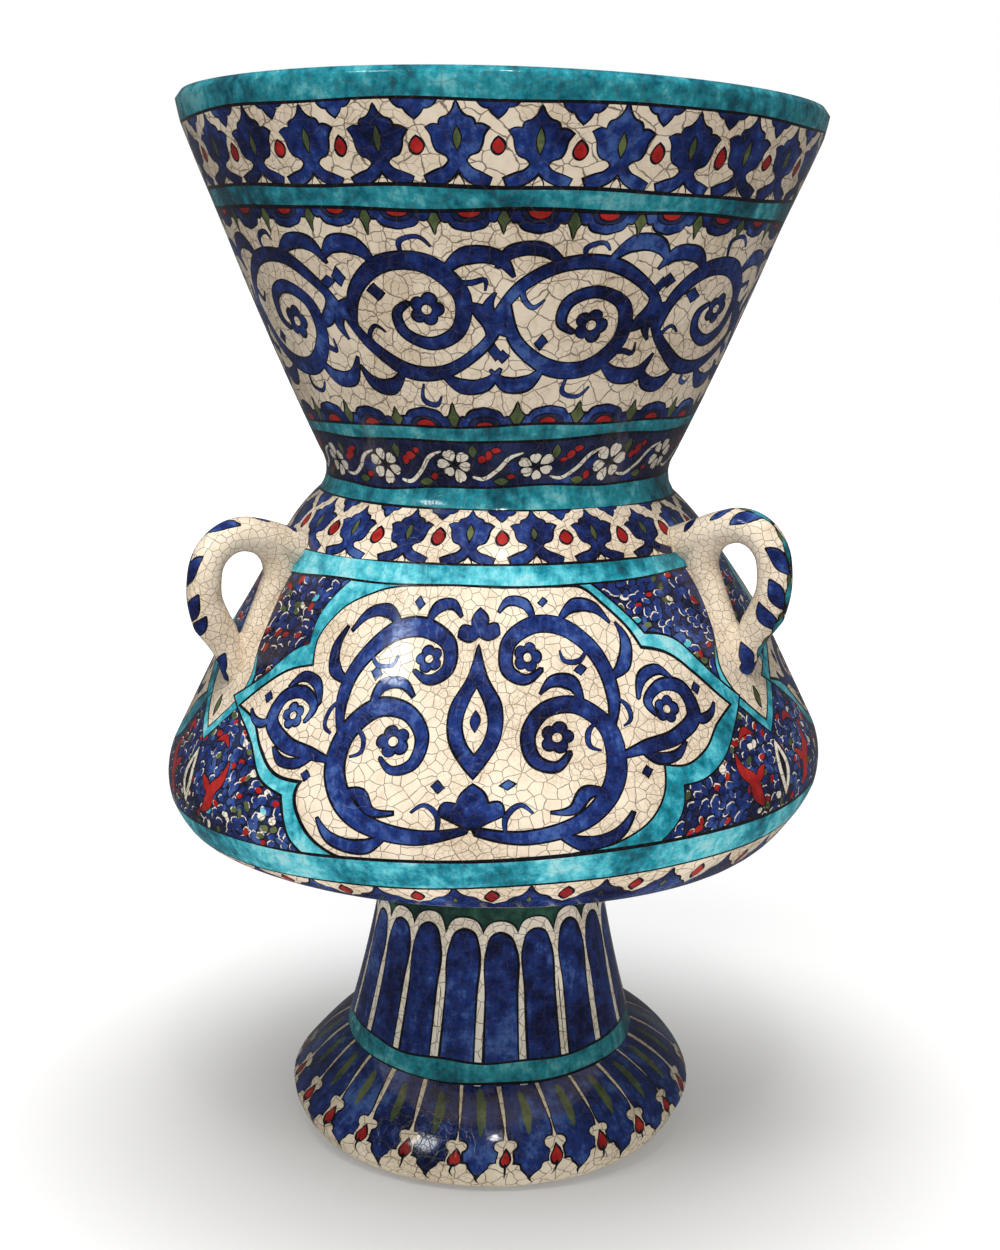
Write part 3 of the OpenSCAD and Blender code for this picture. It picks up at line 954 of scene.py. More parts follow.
shoulder = Skin(template((92, 264), (75.5, 284, 1)), 4.6)
palmette_border(shoulder, shoulder.at(264.6), shoulder.at(283.6), 21, 10, 2.2)
shoulder.band(shoulder.length - 0.9, shoulder.length + 2, BLACK, 6)
shoulder.band(-2, 0.8, BLACK, 6)
build(shoulder, "shoulder_ring", np.array([(68, 284), (84.5, 264)]), "shoulder", lopsided)

# %% [markdown]
# The body wall is divided like a garden. Three lobed panels with turquoise frames lie between the
# handles. A frame is a turquoise shape with a smaller cream one over it. Both are given in degrees
# and heights, and their two halves differ, as they do on the real lamp.

# %% Body panels
body = Skin(template((140, 158), (138.5, 180, 1.85), (117, 224), (92, 264)), 4.4, DEEP)
zb = body.at
inner_right = [(0, 256), (14, 256.2), (19.8, 255.4), (24, 249.6), (27.9, 240.9), (30.1, 232.4, 1),
               (35.5, 230), (40.5, 221.7), (47.4, 208.9, 1), (42.6, 203.4), (38.4, 194.8),
               (33.5, 190.4), (29.2, 191.9, 1), (28.3, 183.3), (25.2, 173.3), (20.5, 166.4),
               (12.5, 162.3), (0, 158.9)]
inner_left = [(9.2, 157.7), (17.9, 156.4), (25.7, 158.6), (30.8, 168.4), (33, 179.9),
              (32.4, 182.7, 1), (38.1, 183.5), (44, 191.5), (48.5, 200.4), (54, 203.8, 1),
              (50.5, 210.6), (43.9, 219.6), (37.6, 223.3, 1), (39.1, 232.8), (36.2, 243.8),
              (28.2, 251.7), (12.7, 255.3)]
outer_right = [(0, 262), (13, 261.5), (20.5, 257.7), (27.6, 247.3), (31.7, 236.4, 1), (38.5, 234.1),
               (43.1, 224), (50.5, 210.6, 1), (47.3, 203), (40.7, 189.3), (36.8, 185.5),
               (31.7, 184.2, 1), (30.8, 175.5), (26.9, 164.3), (20, 155), (12, 150), (0, 150)]
outer_left = [(12, 148), (26, 150), (32.8, 161.9), (34.6, 172.5), (35.5, 177.6, 1), (40.5, 180.7),
              (46.3, 192.1), (51.5, 199.6), (56.8, 205.8, 1), (49.9, 215.8), (42.7, 228.2),
              (40.6, 229.9, 1), (41, 242.4), (36.9, 252.8), (28, 259.5), (13, 262)]
middle_s = zb(206)
span = math.radians(1) * body.radius(middle_s)


def on_wall(points, side=1):
    """Turns degrees and heights into mm round a panel's middle, before the belly is tilted."""
    drawn = []
    for a, h, *more in points:
        lift = BELLY_TILT * body.radius(zb(h)) * math.sin(math.radians(a * side))
        level = h - lift * min(1, (284 - h) / 35)
        beyond = min(level - 158, 0) + max(level - 264, 0)
        drawn.append((a * side * span, zb(level) + beyond - middle_s, *more))
    return drawn


inner = shape(on_wall(inner_right) + on_wall(inner_left, -1))
outer = shape(on_wall(outer_right) + on_wall(outer_left, -1))
panels = (0, 120, -120)
for degrees in panels:
    body.paint(grown(outer, 0.9), TURQUOISE, degrees, middle_s, 4, 0.9)
    body.paint(inner, CREAM, degrees, middle_s, 5, 1.2)
body.band(zb(257), zb(264) + 2, TURQUOISE, 6, 0.9)
body.band(-2, 1.0, TURQUOISE, 6, 1.5, 1.8)
print("panel is", round(101 * span), "mm wide")

# %% [markdown]
# The scroll in a panel is drawn for its right half and turned over for the left, with a drop and
# two buds on the middle line. Each stroke is made a little larger or smaller, so that the two
# halves don't look copied.

# %% Body scrolls
half_scroll = [
    [(2, -40, 2.0), (20, -43, 5.0), (42, -36, 6.7), (53.5, -20, 7.4), (52, -2, 7.1), (40, 8, 6.2),
     (27, 6, 5.3), (20.5, -4, 4.6), (23.5, -14, 3.8), (31, -16.5, 2.6), (36, -12, 1.0)],
    [(53, -6, 1.2), (57, 11, 4.8), (52, 28, 6.2), (40, 39.5, 6.9), (24, 41, 6.4), (13, 33.5, 5.5),
     (13, 24, 4.5), (20, 19.5, 3.4), (27, 23, 1.0)],
    [(54, -15, 1.2), (66, -12.5, 4.8), (80, -10, 5.8), (91, -1.5, 5.5), (88, 8.5, 4.8),
     (77, 11, 4.1), (70.5, 5.5, 3.1), (73, 0, 1.0)],
    [(28, -40.5, 1.0), (38, -47, 4.8), (50, -44.5, 4.0), (56, -37, 0.6)],
    [(55, 17, 1.0), (63.5, 22, 5.0), (67, 31, 4.0), (64.5, 40, 0.6)],
    [(37, 41, 1.0), (46, 47.5, 4.8), (56, 46, 3.8), (62, 39, 0.6)],
    [(25, 42, 1.0), (21, 50, 4.3), (13, 51.5, 3.3), (9, 47, 0.6)],
    [(43, 7, 1.0), (39, 16.5, 4.8), (31, 17.5, 3.6), (26, 13, 0.6)],
    [(50, -28, 1.0), (41, -27, 4.6), (36, -33, 3.1), (28, -33.5, 0.6)],
    [(64, -13, 1.0), (71, -17.5, 4.1), (79, -17.5, 3.3), (84, -13, 0.6)],
    [(68, 8, 1.0), (72, 16, 4.1), (80, 18, 3.3), (86, 13.5, 0.6)],
    [(90, 0, 1.0), (96, -4.5, 3.4), (102, -3, 2.1), (105, 0.5, 0.5)]]
half_tendrils = [[(49, 31, 0.7), (44, 25, 1.8), (37, 26, 1.4), (36, 30, 0.5)],
                 [(12, -42, 0.7), (12, -34, 1.8), (17, -30, 1.5), (21, -33, 0.5)],
                 [(50, 1, 0.7), (44, -4, 1.8), (44, -10, 1.4), (48, -12, 0.5)],
                 [(57, 10, 0.7), (62, 5, 1.7), (62, -1, 1.3), (59, -3, 0.5)]]
half_heads = [(31.5, -5, 6.2), (21.5, 28.5, 5.6), (79.5, 1.5, 5.2)]
half_dots = [(44, 21.5, 2.5), (12.5, -22, 2.3), (97, 7.5, 2.2), (65, -22, 2.0), (30.5, 51, 2.0)]
drop = both_sides([(0, 34, 1), (3.6, 22), (9.8, 9), (9, -4), (4, -12), (0, -17, 1)])
drop_heart = both_sides([(0, 17, 1), (3.4, 9), (4.6, 2), (2.4, -5), (0, -8, 1)])
foot_bud = both_sides([(0, -20, 1), (4, -24), (5.2, -28, 1), (9.5, -27.5), (11, -32, 1), (6, -34.5),
                       (0, -37)])
crown_bud = both_sides([(0, 49, 1), (3.4, 45), (3.2, 41.5, 1), (8, 42), (9, 38, 1), (4, 36), (0, 38, 1)])
for degrees in panels:
    middle = degrees - 3.2
    for flip in np.array([(0.98, 0.98), (-0.98, 0.98)]):
        for line in half_scroll:
            body.paint(about(brush(line), 0.012) * flip, COBALT, middle, middle_s + 1, 6, 0.8)
        for line in half_tendrils:
            body.paint(brush(line) * flip, COBALT, middle, middle_s + 1, 6, 0.35)
        for flower in half_heads:
            head, heart = lotus_on(*flower)
            body.paint(head * flip, COBALT, middle, middle_s + 1, 7, 0.7)
            body.paint(heart * flip, CREAM, middle, middle_s + 1, 8, 0.6)
        for dot in half_dots:
            body.paint(dot_on(*dot) * flip, COBALT, middle, middle_s + 1, 6, 0.6)
    body.paint(drop, COBALT, middle, middle_s, 6, 0.8)
    body.paint(drop_heart, CREAM, middle, middle_s, 7, 0.7)
    body.paint(about(almond(1.8, 4.2)) + (0, 3.5), COBALT, middle, middle_s, 8, 0.4)
    body.paint(foot_bud, COBALT, middle, middle_s, 6, 0.8)
    body.paint(crown_bud, COBALT, middle, middle_s, 6, 0.8)
print("body panels:", len(body.shapes), "shapes")

# %% [markdown]
# The corners between the panels are packed with tiny blue petals, some of them red or green, so
# close that little of the dark ground shows. About half have a white crescent on the side towards
# the light, a painted highlight. They are set out on a shaken grid, which is quick, and keeps the
# even density that a painter gets by eye. The seats of the handles stay free.

# %% Body corners
handles = [degrees - math.degrees(SEEN_FROM) for degrees in (60, -60, 180)]
seat = [(0, 266), (3.6, 266), (3.8, 248), (5.6, 232), (8, 217), (6.6, 210), (3.8, 203), (0, 196, 1)]
seat_frame = [(0, 266), (3.6, 266), (3.8, 248), (5.6, 232), (9.4, 217), (8.4, 208.5), (4.8, 200),
              (0, 191, 1)]
for degrees in handles:
    for points, pigment, layer in ((seat_frame, TURQUOISE, 2.1), (seat, CREAM, 3)):
        right = [(a * span, zb(h) + max(h - 264, 0) - middle_s, *more) for a, h, *more in points]
        body.paint(both_sides(right), pigment, degrees, middle_s, layer, 0.8)
    body.paint(almond(1.7, 3.8), GREEN, degrees, zb(204), 4, 0.7)

petal = both_sides([(0, 0.9), (0.7, 0.8), (1.05, 0.0), (0.66, -0.72), (0, -0.95)])
seat_heights, seat_widths = [191, 200, 208.5, 217, 232, 266], [-2, 3.8, 7.4, 8.4, 4.6, 2.6]
pigment_shares = {COBALT: 0.78, RED: 0.11, GREEN: 0.07, TURQUOISE: 0.01, WHITE: 0.03}
row, placed = 0, 0
for s in np.arange(2.4, zb(256.6), 3.3):
    count = int(2 * math.pi * body.radius(s) / 4.4)
    height = float(np.interp(s, body.along, body.line[:, 1]))
    for k in range(count):
        degrees = ((k + 0.5 * (row % 2)) * 360 / count + rng.normal(0, 0.4)) % 360 - 180
        off = (degrees + 60) % 120 - 60
        spot = np.array([[off * span, s - middle_s]])
        from_seat = abs((degrees + math.degrees(SEEN_FROM)) % 120 - 60)
        in_seat = from_seat < np.interp(height, seat_heights, seat_widths)
        if in_seat or inside(spot, outer * (0.975, 0.97))[0]:
            continue
        kind = rng.choice(list(pigment_shares), p=list(pigment_shares.values()))
        tilt = 0.3 + rng.normal(0, 0.7)
        spin = np.array([[math.cos(tilt), math.sin(tilt)], [-math.sin(tilt), math.cos(tilt)]])
        size = np.array([2.35, 1.6]) * rng.uniform(0.8, 1.15) * (0.85 if kind != COBALT else 1)
        dab = (petal[::2] * size) @ spin
        at = s + rng.normal(0, 0.5)
        # Painted highlight: under about half the dabs, a white crescent shows on the side towards the light.
        lit = rng.normal(2.2, 0.9)
        if rng.random() < 0.55:
            painted_glint = dab + 0.6 * np.array([math.cos(lit), math.sin(lit)])
            body.paint(painted_glint, WHITE, degrees, at, 1 + rng.uniform(0, 0.35))
        body.paint(dab, kind, degrees, at, 1.3 + rng.uniform(0, 0.3), 0.5)
        placed += 1
    row += 1
print("corners hold", placed, "petals")

# %% [markdown]
# Under each handle stands a white almond between red flames. Each flame is a stroke of a brush
# that is pressed down and lifted again. With these the wall is complete, and it is rolled up.

# %% Body almonds and flames
eye_white = both_sides([(0, 12, 1), (3.4, 4.6), (4.6, -1), (3, -7), (0, -12, 1)])
eye_black = both_sides([(0, 8, 1), (1.5, 2.6), (2, -1), (1.2, -5), (0, -8, 1)])
flame = [(-3, -11.5, 2.0), (1, -7, 6.4), (3, -1, 5.6), (8, 4, 4.6), (9, 11, 0.6)]
flame_tongue = [(3, -4, 1.0), (-2.5, 0.5, 4.4), (-6.5, 3.5, 0.6)]
spark = brush([(-5, 7, 0.6), (0, 9, 3.4), (5, 6, 0.6)])
for degrees in handles:
    low = zb(177)
    body.paint(eye_white, WHITE, degrees, low, 6, 0.9)
    body.paint(eye_black, BLACK, degrees, low, 7)
    for side in (-1, 1):
        for line in (flame, flame_tongue):
            body.paint(brush(line) * (side, 1), RED, degrees + 8.5 * side, low, 6, 0.6)
        body.paint(spark * (side, 1), RED, degrees + 8 * side, low + 10, 6, 0.5)
body_rest = np.array([(84.5, 264), (109.5, 224), (131, 180), (132.8, 170), (132.5, 158)])
build(body, "body", body_rest, "body_wall", lopsided)

# %% [markdown]
# Under the belly band the bowl is cream, with a row of blue tents that rise to the band and red
# almonds between them. A smaller ring of the same goes round the top of the stem. The bowl is
# closed: its floor is what the oil glass stands on.

# %% Bowl
TENTS, LOW_TENTS = 28, 12
bowl = Skin(template((48, 116), (104, 131), (140, 158, 6.5)), 5.0)
bowl_edge = bowl.at(147.8)
bowl.band(bowl_edge, bowl.length + 6, TURQUOISE, 6, 1.1, 1.6)
tent = both_sides([(0, 15, 1), (1.2, 11.6), (3.6, 8.8), (6.6, 7.4), (8.6, 4.4, 1), (13.4, 1.2),
                   (13.4, -8, 1), (0, -8, 1)])
for degrees in around(TENTS, 0):
    bowl.paint(about(almond(2.3, 3.6), 0.06), RED, degrees, bowl_edge - 7.5, 5, 0.9)
    bowl.paint(about(tent, 0.04), COBALT, degrees + 180 / TENTS, bowl_edge - 16, 3, 0.8)
    bowl.paint(about(almond(0.9, 2.6)), GREEN, degrees + 180 / TENTS, bowl_edge - 11, 5, 0.5)
rising = both_sides([(0, 13, 1), (2.4, 8.5), (6, 7), (8.6, 8, 1), (8, 3), (9.4, -1, 1), (0, -1, 1)])
lozenge = shape([(3.2, 0), (0, 2.6), (-3.2, 0), (0, -2.6)])
for degrees in around(LOW_TENTS, 0):
    bowl.paint(about(lozenge, 0.06), RED, degrees, 9, 5, 1.0)
    bowl.paint(about(rising, 0.04), COBALT, degrees + 180 / LOW_TENTS, 1, 3, 0.8)
bowl.band(-2, 1, BLACK, 6)
bowl_inside = template((132.5, 158), (101, 139.5, -3.25))[1::3]
bowl_rest = np.concatenate([[(132.5, 158)], bowl_inside, [(50, 126), (0.02, 126), (0.02, 116)]])
build(bowl, "bowl", bowl_rest, "belly_bowl", lopsided)

# %% [markdown]
# The stem has round-headed blue panels. All the white ribs are laid over all their contours, so
# that two neighbours share one rib, and part at the top where each bends over its own panel. The
# real foot was luted on askew, so its low end, with the turquoise ring, is tipped to the front.

# %% Stem
FOOT_TILT, FOOT_SHIFT, ARCHES = 0.115, 2.2, 20


def tipped(spots):
    """Tips the low end of the foot to the front and pushes it right, but keeps its base flat."""
    z = spots[:, 2].copy()
    share = np.clip((80 - z) / 40, 0, 1) * np.clip(z / 12, 0, 1)
    spots[:, 2] += FOOT_TILT * spots[:, 1] * share
    spots[:, 0] += FOOT_SHIFT * np.sin(math.pi * np.clip((z - 17) / 27, 0, 1))
    return spots


stem = Skin(template((63.5, 44), (61.5, 52), (48, 116, -1)), 5.0, MOSS)
top = stem.at(106.5)
half_cell = math.pi * stem.radius(0) / ARCHES


def arch(head, lean, inset, drop):
    """A round-headed panel that is inset from its cell, drops below the head, and leans."""
    side = half_cell - inset
    outline = both_sides([(0, head - drop), (side * 0.66, head - drop - 1.7),
                          (side, head - drop - 7), (side, head / 2), (side, -4, 1), (0, -4, 1)])
    return outline + np.stack([lean * outline[:, 1] / head, 0 * outline[:, 1]], 1)


for degrees in around(ARCHES, 5):
    head = top + rng.normal(0, 1.1)
    lean = rng.normal(0, 0.5)
    stem.paint(arch(head, lean, -0.15, 0), WHITE, degrees, 0, 3, 0.8)
    stem.paint(arch(head, lean, 2.7, 5.4), COBALT, degrees, 0, 5, 1.1)
stem.band(stem.length - 1.6, stem.length + 2, BLACK, 6)
stem.band(0.8, 7.6, TEAL, 7, 0.9)
build(stem, "stem", np.array([(40.5, 116), (56, 44)]), "foot_stem", tipped)

# %% [markdown]
# The skirt of the foot is a flaring cone with a ring of long blue petals that end in a point. A
# cream line parts them, and opens into a small flower with a red seed near the edge of the foot.
# The skirt is tipped with the stem. Its base stays flat, so that the lamp stands.

# %% Skirt
PETALS = 25
skirt = Skin(template((77, 0), (88.5, 20.5, 1), (63.5, 44, 2.5)), 5.4)
collar = skirt.length
cell = 2 * math.pi / PETALS
half = cell * skirt.radius(30) / 2
foot_petal = both_sides([
    (0, collar + 1, 1), (half - 2.0, collar + 1, 1), (half - 1.5, collar - 12), (half - 1.2, 37.6),
    (half - 1.5, 36.4, 1), (half - 3.4, 36.2), (half - 5.3, 34.6), (half - 5.2, 32.6),
    (half - 3.6, 31.2, 1), (half - 3.7, 29.8), (half - 4.1, 28.4), (half - 4.0, 27.4, 1),
    (half - 6.4, 26.8), (half - 7.1, 25.0, 1), (half - 8.7, 23.4), (0.5, 19.8, 1)])
for degrees in around(PETALS, 3.9 + 180 / PETALS):
    skirt.paint(about(foot_petal - (0, 30), 0.015), COBALT, degrees, 30, 3, 0.75)
    stroke = brush([(0, 55, 3.2), (0.5, 49, 4.6), (0, 43, 4.2), (-0.6, 37.5, 0.8)])
    skirt.paint(about(stroke - (0, 30), 0.05), GREEN, degrees, 30, 5)
    between = degrees + 180 / PETALS
    seed = both_sides([(0, 3.4, 1), (1.3, 1.5), (2.2, -0.4), (1.6, -2.0), (0, -2.8)])
    skirt.paint(about(seed, 0.06), RED, between, 28.6, 5, 0.8)
    tail = brush([(0, 1.0, 1.2), (rng.normal(0, 0.4), -2.2, 0.9), (rng.normal(0, 0.8), -5.6, 0.3)])
    skirt.paint(tail, BLACK, between, 25.4, 5)
    tip = brush([(0, 2, 1.8), (rng.normal(0.4, 0.4), -1, 1.1), (rng.normal(1.2, 0.5), -3, 0.3)])
    skirt.paint(tip, BLACK, degrees, 19.4, 3)
skirt_rest = np.array([(56, 44), (56, 36.5), (79, 15), (67, 0)])
build(skirt, "skirt", skirt_rest, "foot_skirt", tipped)

# %% [markdown]
# Each handle was a roll of soft clay, bent into a loop on the bench, with its two ends pinched
# into one tail and pressed to the wall. Here it is two rolls, one for each arm, drawn in the
# upright plane of the handle. They lie inside each other where the arms run together.


# %% Rolls of clay
def tube_faces(rings, sides, first=0):
    """The faces of a tube of rings, with a lid on both ends. Its points start at number first."""
    last = first + (rings - 1) * sides
    faces = []
    for low in range(first, last, sides):
        high = low + sides
        faces += [[low + k, low + (k + 1) % sides, high + (k + 1) % sides, high + k] for k in range(sides)]
    return faces + [list(range(first, first + sides))[::-1], list(range(last, last + sides))]


def roll(points, sides=20):
    """Points and faces of a round roll along (out, height, radius) points, with closed ends."""
    line, place = smooth([p[:2] for p in points], False, 1.0)
    thick = np.interp(place, range(len(points)), [p[2] for p in points])
    way = np.gradient(line, axis=0)
    way /= np.hypot(way[:, 0], way[:, 1])[:, None]
    a = np.linspace(0, 2 * math.pi, sides, endpoint=False)
    rings = [np.stack([c[0] + w[1] * r * np.cos(a), r * np.sin(a), c[1] - w[0] * r * np.cos(a)], 1)
             for c, w, r in zip(line, way, thick)]
    return np.concatenate(rings), tube_faces(len(rings), sides), line, thick


BEND_OUT, BEND_HEIGHT, BEND_RADIUS = 115.56, 257.5, 16


def on_bend(degrees):
    """A point on the round bend of the loop, as (out, height)."""
    a = math.radians(degrees)
    return BEND_OUT + BEND_RADIUS * math.cos(a), BEND_HEIGHT + BEND_RADIUS * math.sin(a)


outer_roll = [(84.5, 262.2, 8.6), (97, 267.2, 8.1)]
outer_roll += [on_bend(a) + (7.2,) for a in (112, 90, 65, 40, 15, -10)]
outer_roll += [(126.6, 239.8, 6.6), (122.5, 227.2, 6.0), (118.4, 214.5, 5.5)]
inner_roll = [on_bend(a) + (7.0,) for a in (112, 135, 160, 185, 212)]
inner_roll += [(107.5, 237.5, 6.3), (113, 226, 5.8), (118.4, 214.5, 5.4)]
rolls = [roll(outer_roll), roll(inner_roll)]
loop_points = np.concatenate([r[0] for r in rolls])
loop_faces = rolls[0][1] + [[v + len(rolls[0][0]) for v in f] for f in rolls[1][1]]
print("rolls of", [round(float(np.hypot(*np.diff(r[2], axis=0).T).sum())) for r in rolls], "mm")

# %% [markdown]
# A voxel remesh joins the two rolls into one skin, and a few rounds of smoothing ease the creases
# as a wet thumb does. The lower outer arm of the real loops is fuller than a plain roll, so it is
# pushed out there. Points that would lie deep in the wall are brought to just under its face.

# %% One skin for the loop
FULLER, SEATED = 4.2, 2.5
draft = bpy.data.meshes.new("loop_draft")
draft.from_pydata((loop_points / 1000).tolist(), [], loop_faces)
draft_piece = in_scene("loop_draft", draft)
fused = draft_piece.modifiers.new("fuse", "REMESH")
fused.mode = "VOXEL"
fused.voxel_size = 0.0009
eased = draft_piece.modifiers.new("ease", "SMOOTH")
eased.factor = 0.6
eased.iterations = 9
bpy.context.view_layer.update()
finished = draft_piece.evaluated_get(bpy.context.evaluated_depsgraph_get())
loop_mesh = bpy.data.meshes.new_from_object(finished)
bpy.data.objects.remove(draft_piece)
loop_at = np.zeros(3 * len(loop_mesh.vertices), "f4")
loop_mesh.vertices.foreach_get("co", loop_at)
loop_at = loop_at.reshape(-1, 3).astype(float) * 1000
wall_line = np.concatenate([body.line, shoulder.line[1:]])
away = np.hypot(loop_at[:, 0], loop_at[:, 1])
wall = np.interp(loop_at[:, 2], wall_line[:, 1], wall_line[:, 0])
on_arm = np.exp(-((loop_at[:, 2] - 236) / 15) ** 2)
loop_at[:, 0] += FULLER * on_arm * np.clip((away - wall - 10) / 12, 0, 1)
loop_at[:, :2] *= np.maximum(1, (wall - SEATED) / away)[:, None]
print("loop skin:", len(loop_at), "points")

# %% [markdown]
# The leaves on a loop are drawn in another way than the paint on the wall, because this skin has no
# flat sheet. Each point keeps how deep it lies inside a leaf, and the glaze draws the edge where
# that depth is zero.


# %% Depth inside a leaf
def chart_of(made):
    """Where each point of the loop is along and round a roll, in mm, and how far from its middle."""
    line, thick = made[2], made[3]
    run = np.concatenate([[0], np.cumsum(np.hypot(*np.diff(line, axis=0).T))])
    flat = loop_at[:, [0, 2]]
    gap = np.hypot(*(flat[:, None] - line[None]).transpose(2, 0, 1))
    near = gap.argmin(1)
    way = np.gradient(line, axis=0)
    way /= np.hypot(way[:, 0], way[:, 1])[:, None]
    off = flat - line[near]
    lift = off[:, 1] * way[near, 0] - off[:, 0] * way[near, 1]
    along = run[near] + np.sum(off * way[near], 1)
    about_roll = thick[near] * np.arctan2(loop_at[:, 1], lift)
    return np.stack([along, about_roll], 1), gap.min(1)


chart, far = chart_of(rolls[0])
inner_chart, inner_far = chart_of(rolls[1])
on_outer = far < inner_far + 0.5
loop_sheet = np.abs(np.where(on_outer[:, None], chart, inner_chart + (150, 0))) / 3.3


def depth_in(outline):
    """How deep each point of the loop lies inside an outline, in mm. Outside it is below zero."""
    best = np.full(len(chart), 9.0)
    for p, q in zip(outline, np.roll(outline, -1, 0)):
        t = np.clip((chart - p) @ (q - p) / max((q - p) @ (q - p), 1e-9), 0, 1)
        best = np.minimum(best, np.hypot(*(chart - p - t[:, None] * (q - p)).T))
    return np.where(on_outer, np.where(inside(chart, outline), best, -best), -9.0)


print("points on the outer roll:", int(on_outer.sum()))

# %% [markdown]
# Blue leaves stand in pairs along the ridge of the loop. Each pair has a turquoise leaf and a green
# dash, and a black line down the ridge ties them together. The contour needs no shapes of its own:
# it is where a point lies less than a brush's width outside a leaf.


# %% Leaves on the loop
def leaf_at(along, side, length, width, lean):
    """A leaf that starts on the ridge of the roll and leans to one side of it."""
    a = math.radians(lean)
    turn = np.array([[math.cos(a), math.sin(a)], [-math.sin(a), math.cos(a)]])
    leaf = (almond(width / 2, length / 2) + (0, length / 2)) @ turn
    return np.stack([along - leaf[:, 1], side * (leaf[:, 0] + 0.5)], 1)


strokes = {COBALT: [], TEAL: [], GREEN: [], BLACK: []}
for along in (45, 58, 71, 84, 96):
    for side in (-1, 1):
        strokes[COBALT].append(about(leaf_at(along, side, 12.5, 5.0, -42)))
    strokes[TEAL].append(leaf_at(along - 1, 1, 8.0, 3.2, 0))
    strokes[GREEN].append(leaf_at(along - 7.5, -1, 4.0, 1.6, 8))
for side in (-1, 1):
    strokes[COBALT] += [leaf_at(32, side, 9, 3.6, -35), leaf_at(17, side, 8, 3.6, -60)]
    strokes[COBALT].append(leaf_at(104, side, 9, 6.4, -30))
strokes[BLACK].append(brush([(26, 0, 0.5), (40, 0.3, 1.1), (60, -0.3, 1.3), (80, 0.3, 1.2),
                             (96, 0, 0.6)]))


def painted_depths(twist):
    """The depths of all strokes, when they are turned round the roll by some mm."""
    depths = {n: np.max([depth_in(o + (0, twist)) for o in outlines], 0) for n, outlines in strokes.items()}
    depths[BLACK] = np.maximum(depths[BLACK], np.max([depths[n] + 0.55 for n in (COBALT, TEAL, GREEN)], 0))
    return depths


print("strokes on each loop:", sum(len(o) for o in strokes.values()))

# %% [markdown]
# The same loop is set on the wall three times, a third of a turn apart, and tilted with the belly.
# The leaves sit a little further round the roll on one than on the other, as in any hand work.

# %% Three loops
brushed = {BLACK: "in_black", COBALT: "in_cobalt", GREEN: "in_green", TEAL: "in_teal"}
loop_glaze = crackled_glaze("loop_glaze", brushed)
for node, degrees, twist in (("handle_left", -60, -2.6), ("handle_right", 60, -1.0), ("handle_rear", 180, 0)):
    depths = painted_depths(twist)
    mesh = loop_mesh.copy()
    mesh.name = node.replace("handle", "loop")
    a = math.radians(degrees)
    x, y, height = loop_at.T / 1000
    place = np.stack([x * math.sin(a) + y * math.cos(a), -x * math.cos(a) + y * math.sin(a), height], 1)
    place[:, 2] += BELLY_TILT * place[:, 0]
    mesh.vertices.foreach_set("co", place.astype("f4").ravel())
    mesh.polygons.foreach_set("use_smooth", np.ones(len(mesh.polygons), bool))
    sheet = np.concatenate([loop_sheet + degrees, 0 * loop_sheet[:, :1]], 1)
    keep(mesh, "sheet", "FLOAT_VECTOR", "POINT", sheet)
    for number, name in brushed.items():
        keep(mesh, name, "FLOAT", "POINT", depths[number])
    mesh.materials.clear()
    mesh.materials.append(loop_glaze)
    mesh.update()
    piece = in_scene(mesh.name, mesh)
    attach(piece, "lamp")
    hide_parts(node)
print("three loops of", len(loop_at), "points each")

# %% [markdown]
# Inside stands what makes it a lamp: a cup of green glass for the oil, and a brass strip on its
# rim that carries the tube of the wick. Old glass is full of small waves and seeds. Old brass is
# dull and brown where no hand rubs it. Their shapes are plain, so the solids of the frame are kept.

# %% Glass and brass
green_glass, shader, start = new_material("green_glass")
mm = start.in_mm()
waves = start.noise(0.06, 2.0, 0.5, mm)
seeds = 1 - start.node("TexVoronoi", {}, {"Vector": mm, "Scale": 0.22}).fade(0.08, 0.16)
film = start.noise(0.3, 4.0, 0.5, mm).fade(0.45, 0.75)
start.dress(shader, {
    "Transmission Weight": 0.92, "IOR": 1.5,
    "Base Color": start.blend(film * 0.5, ink(196, 226, 204), ink(150, 190, 152)),
    "Roughness": 0.04 + film * 0.16, "Normal": start.bump(waves + seeds * 0.4, 0.4, 0.001)})

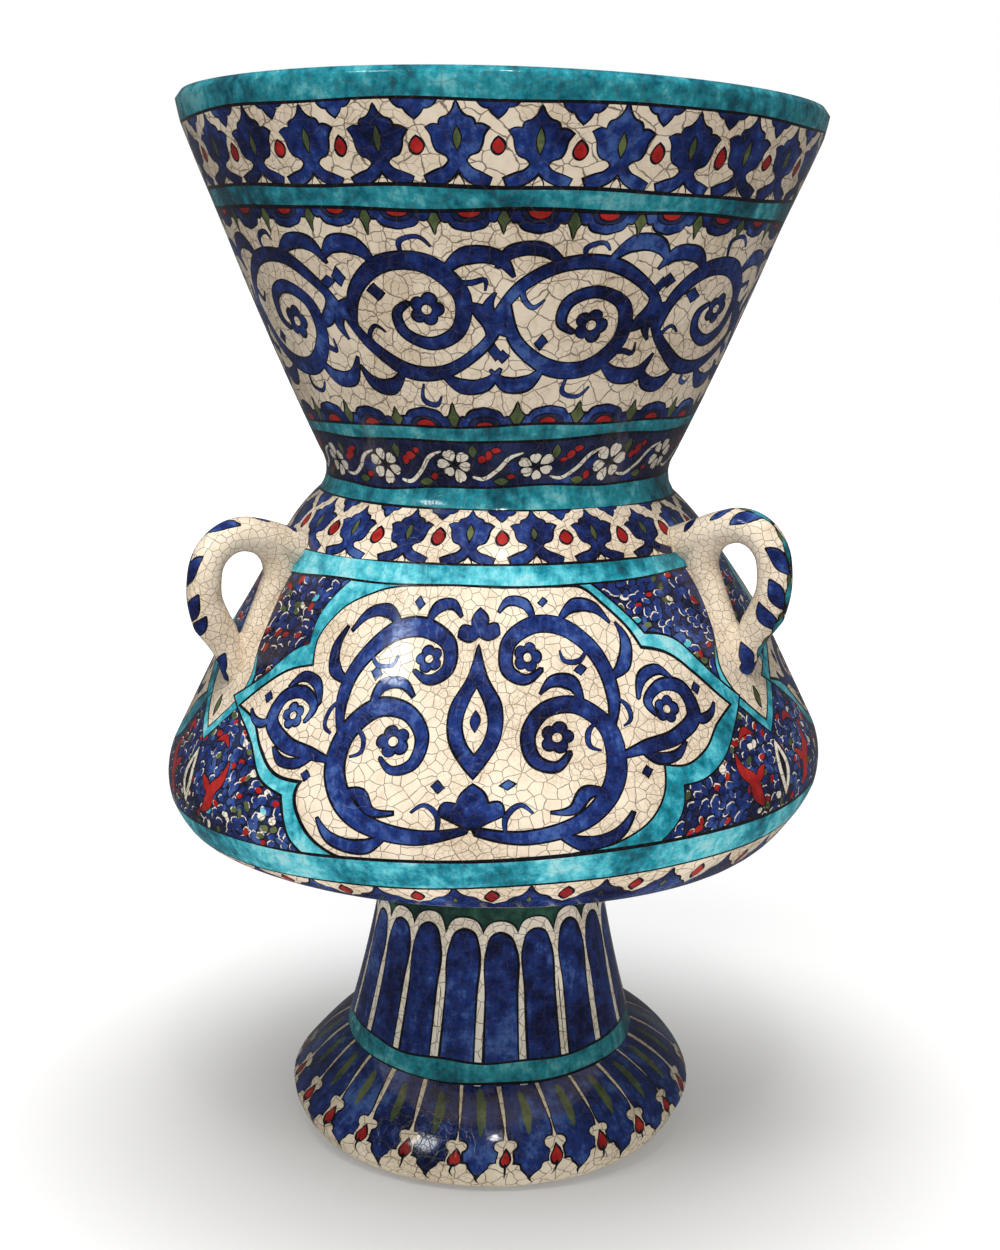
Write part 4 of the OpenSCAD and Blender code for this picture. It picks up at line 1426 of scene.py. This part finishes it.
old_brass, shader, start = new_material("old_brass")
mm = start.in_mm()
patina = start.noise(0.12, 6.0, 0.65, mm)
drawn = start.node("VectorMath", {"operation": "MULTIPLY"}, {0: mm, 1: (0.12, 2.2, 2.2)})
scratches = start.noise(1.0, 3.0, 0.5, drawn)
worn = (patina + scratches * 0.25 - 0.12).fade(0.34, 0.62)
start.dress(shader, {
    "Base Color": start.blend(worn, ink(92, 66, 34), ink(206, 166, 88)),
    "Metallic": 0.75 + worn * 0.25, "Roughness": 0.52 - worn * 0.24 + scratches * 0.08,
    "Normal": start.bump(scratches + patina * 0.5, 0.3, 0.0003)})
for node, material in (("oil_glass", green_glass), ("wick_holder", old_brass)):
    cad_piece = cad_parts[node]
    cad_piece.data.materials.clear()
    cad_piece.data.materials.append(material)
print("glass nodes:", len(green_glass.node_tree.nodes), "brass nodes:", len(old_brass.node_tree.nodes))

# %% [markdown]
# The wick is three strands of cotton, twisted together and burnt at the top. Each strand is a thin
# tube that winds about the middle line. The cotton is brown and slick where it stands in oil.

# %% Wick
WICK_LOW, WICK_HIGH, TWIST, RINGS, SIDES = 157.3, 242.2, 13, 120, 10
STRAND_OUT, STRAND_RADIUS = 1.3, 1.2
cotton, shader, start = new_material("cotton")
mm = start.in_mm()
height = start.node("SeparateXYZ", {}, {0: mm}, out=2)
fibre = start.noise(1.6, 4.0, 0.7, mm)
burnt = (height + fibre * 4).fade(239.5, 242)
oily = 1 - (height + fibre * 6).fade(176, 190)
clean = start.blend(fibre, ink(188, 172, 140), ink(232, 222, 198))
soaked = start.blend(oily * 0.8, clean, ink(150, 118, 60))
start.dress(shader, {
    "Base Color": start.blend(burnt, soaked, ink(20, 17, 15)), "Roughness": 0.92 - oily * 0.4,
    "Normal": start.bump(fibre, 0.6, 0.0003)})

round_strand = np.linspace(0, 2 * math.pi, SIDES, endpoint=False)
spots, faces = [], []
for strand in range(3):
    faces += tube_faces(RINGS, SIDES, strand * RINGS * SIDES)
    for h in np.linspace(WICK_LOW, WICK_HIGH, RINGS):
        a = 2 * math.pi * (h / TWIST + strand / 3)
        thin = min(1, (WICK_HIGH + 0.7 - h) / 2.4) * STRAND_RADIUS
        spots.append(np.stack([STRAND_OUT * math.cos(a) + thin * np.cos(round_strand),
                               STRAND_OUT * math.sin(a) + thin * np.sin(round_strand), np.full(SIDES, h)], 1))
wick_mesh = bpy.data.meshes.new("twisted_wick")
wick_mesh.from_pydata((np.concatenate(spots) / 1000).tolist(), [], faces)
wick_mesh.polygons.foreach_set("use_smooth", np.ones(len(faces), bool))
wick_mesh.materials.append(cotton)
twisted_wick = in_scene("twisted_wick", wick_mesh)
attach(twisted_wick, "holder")
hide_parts("wick")
print("wick of", len(faces), "faces")

# %% [markdown]
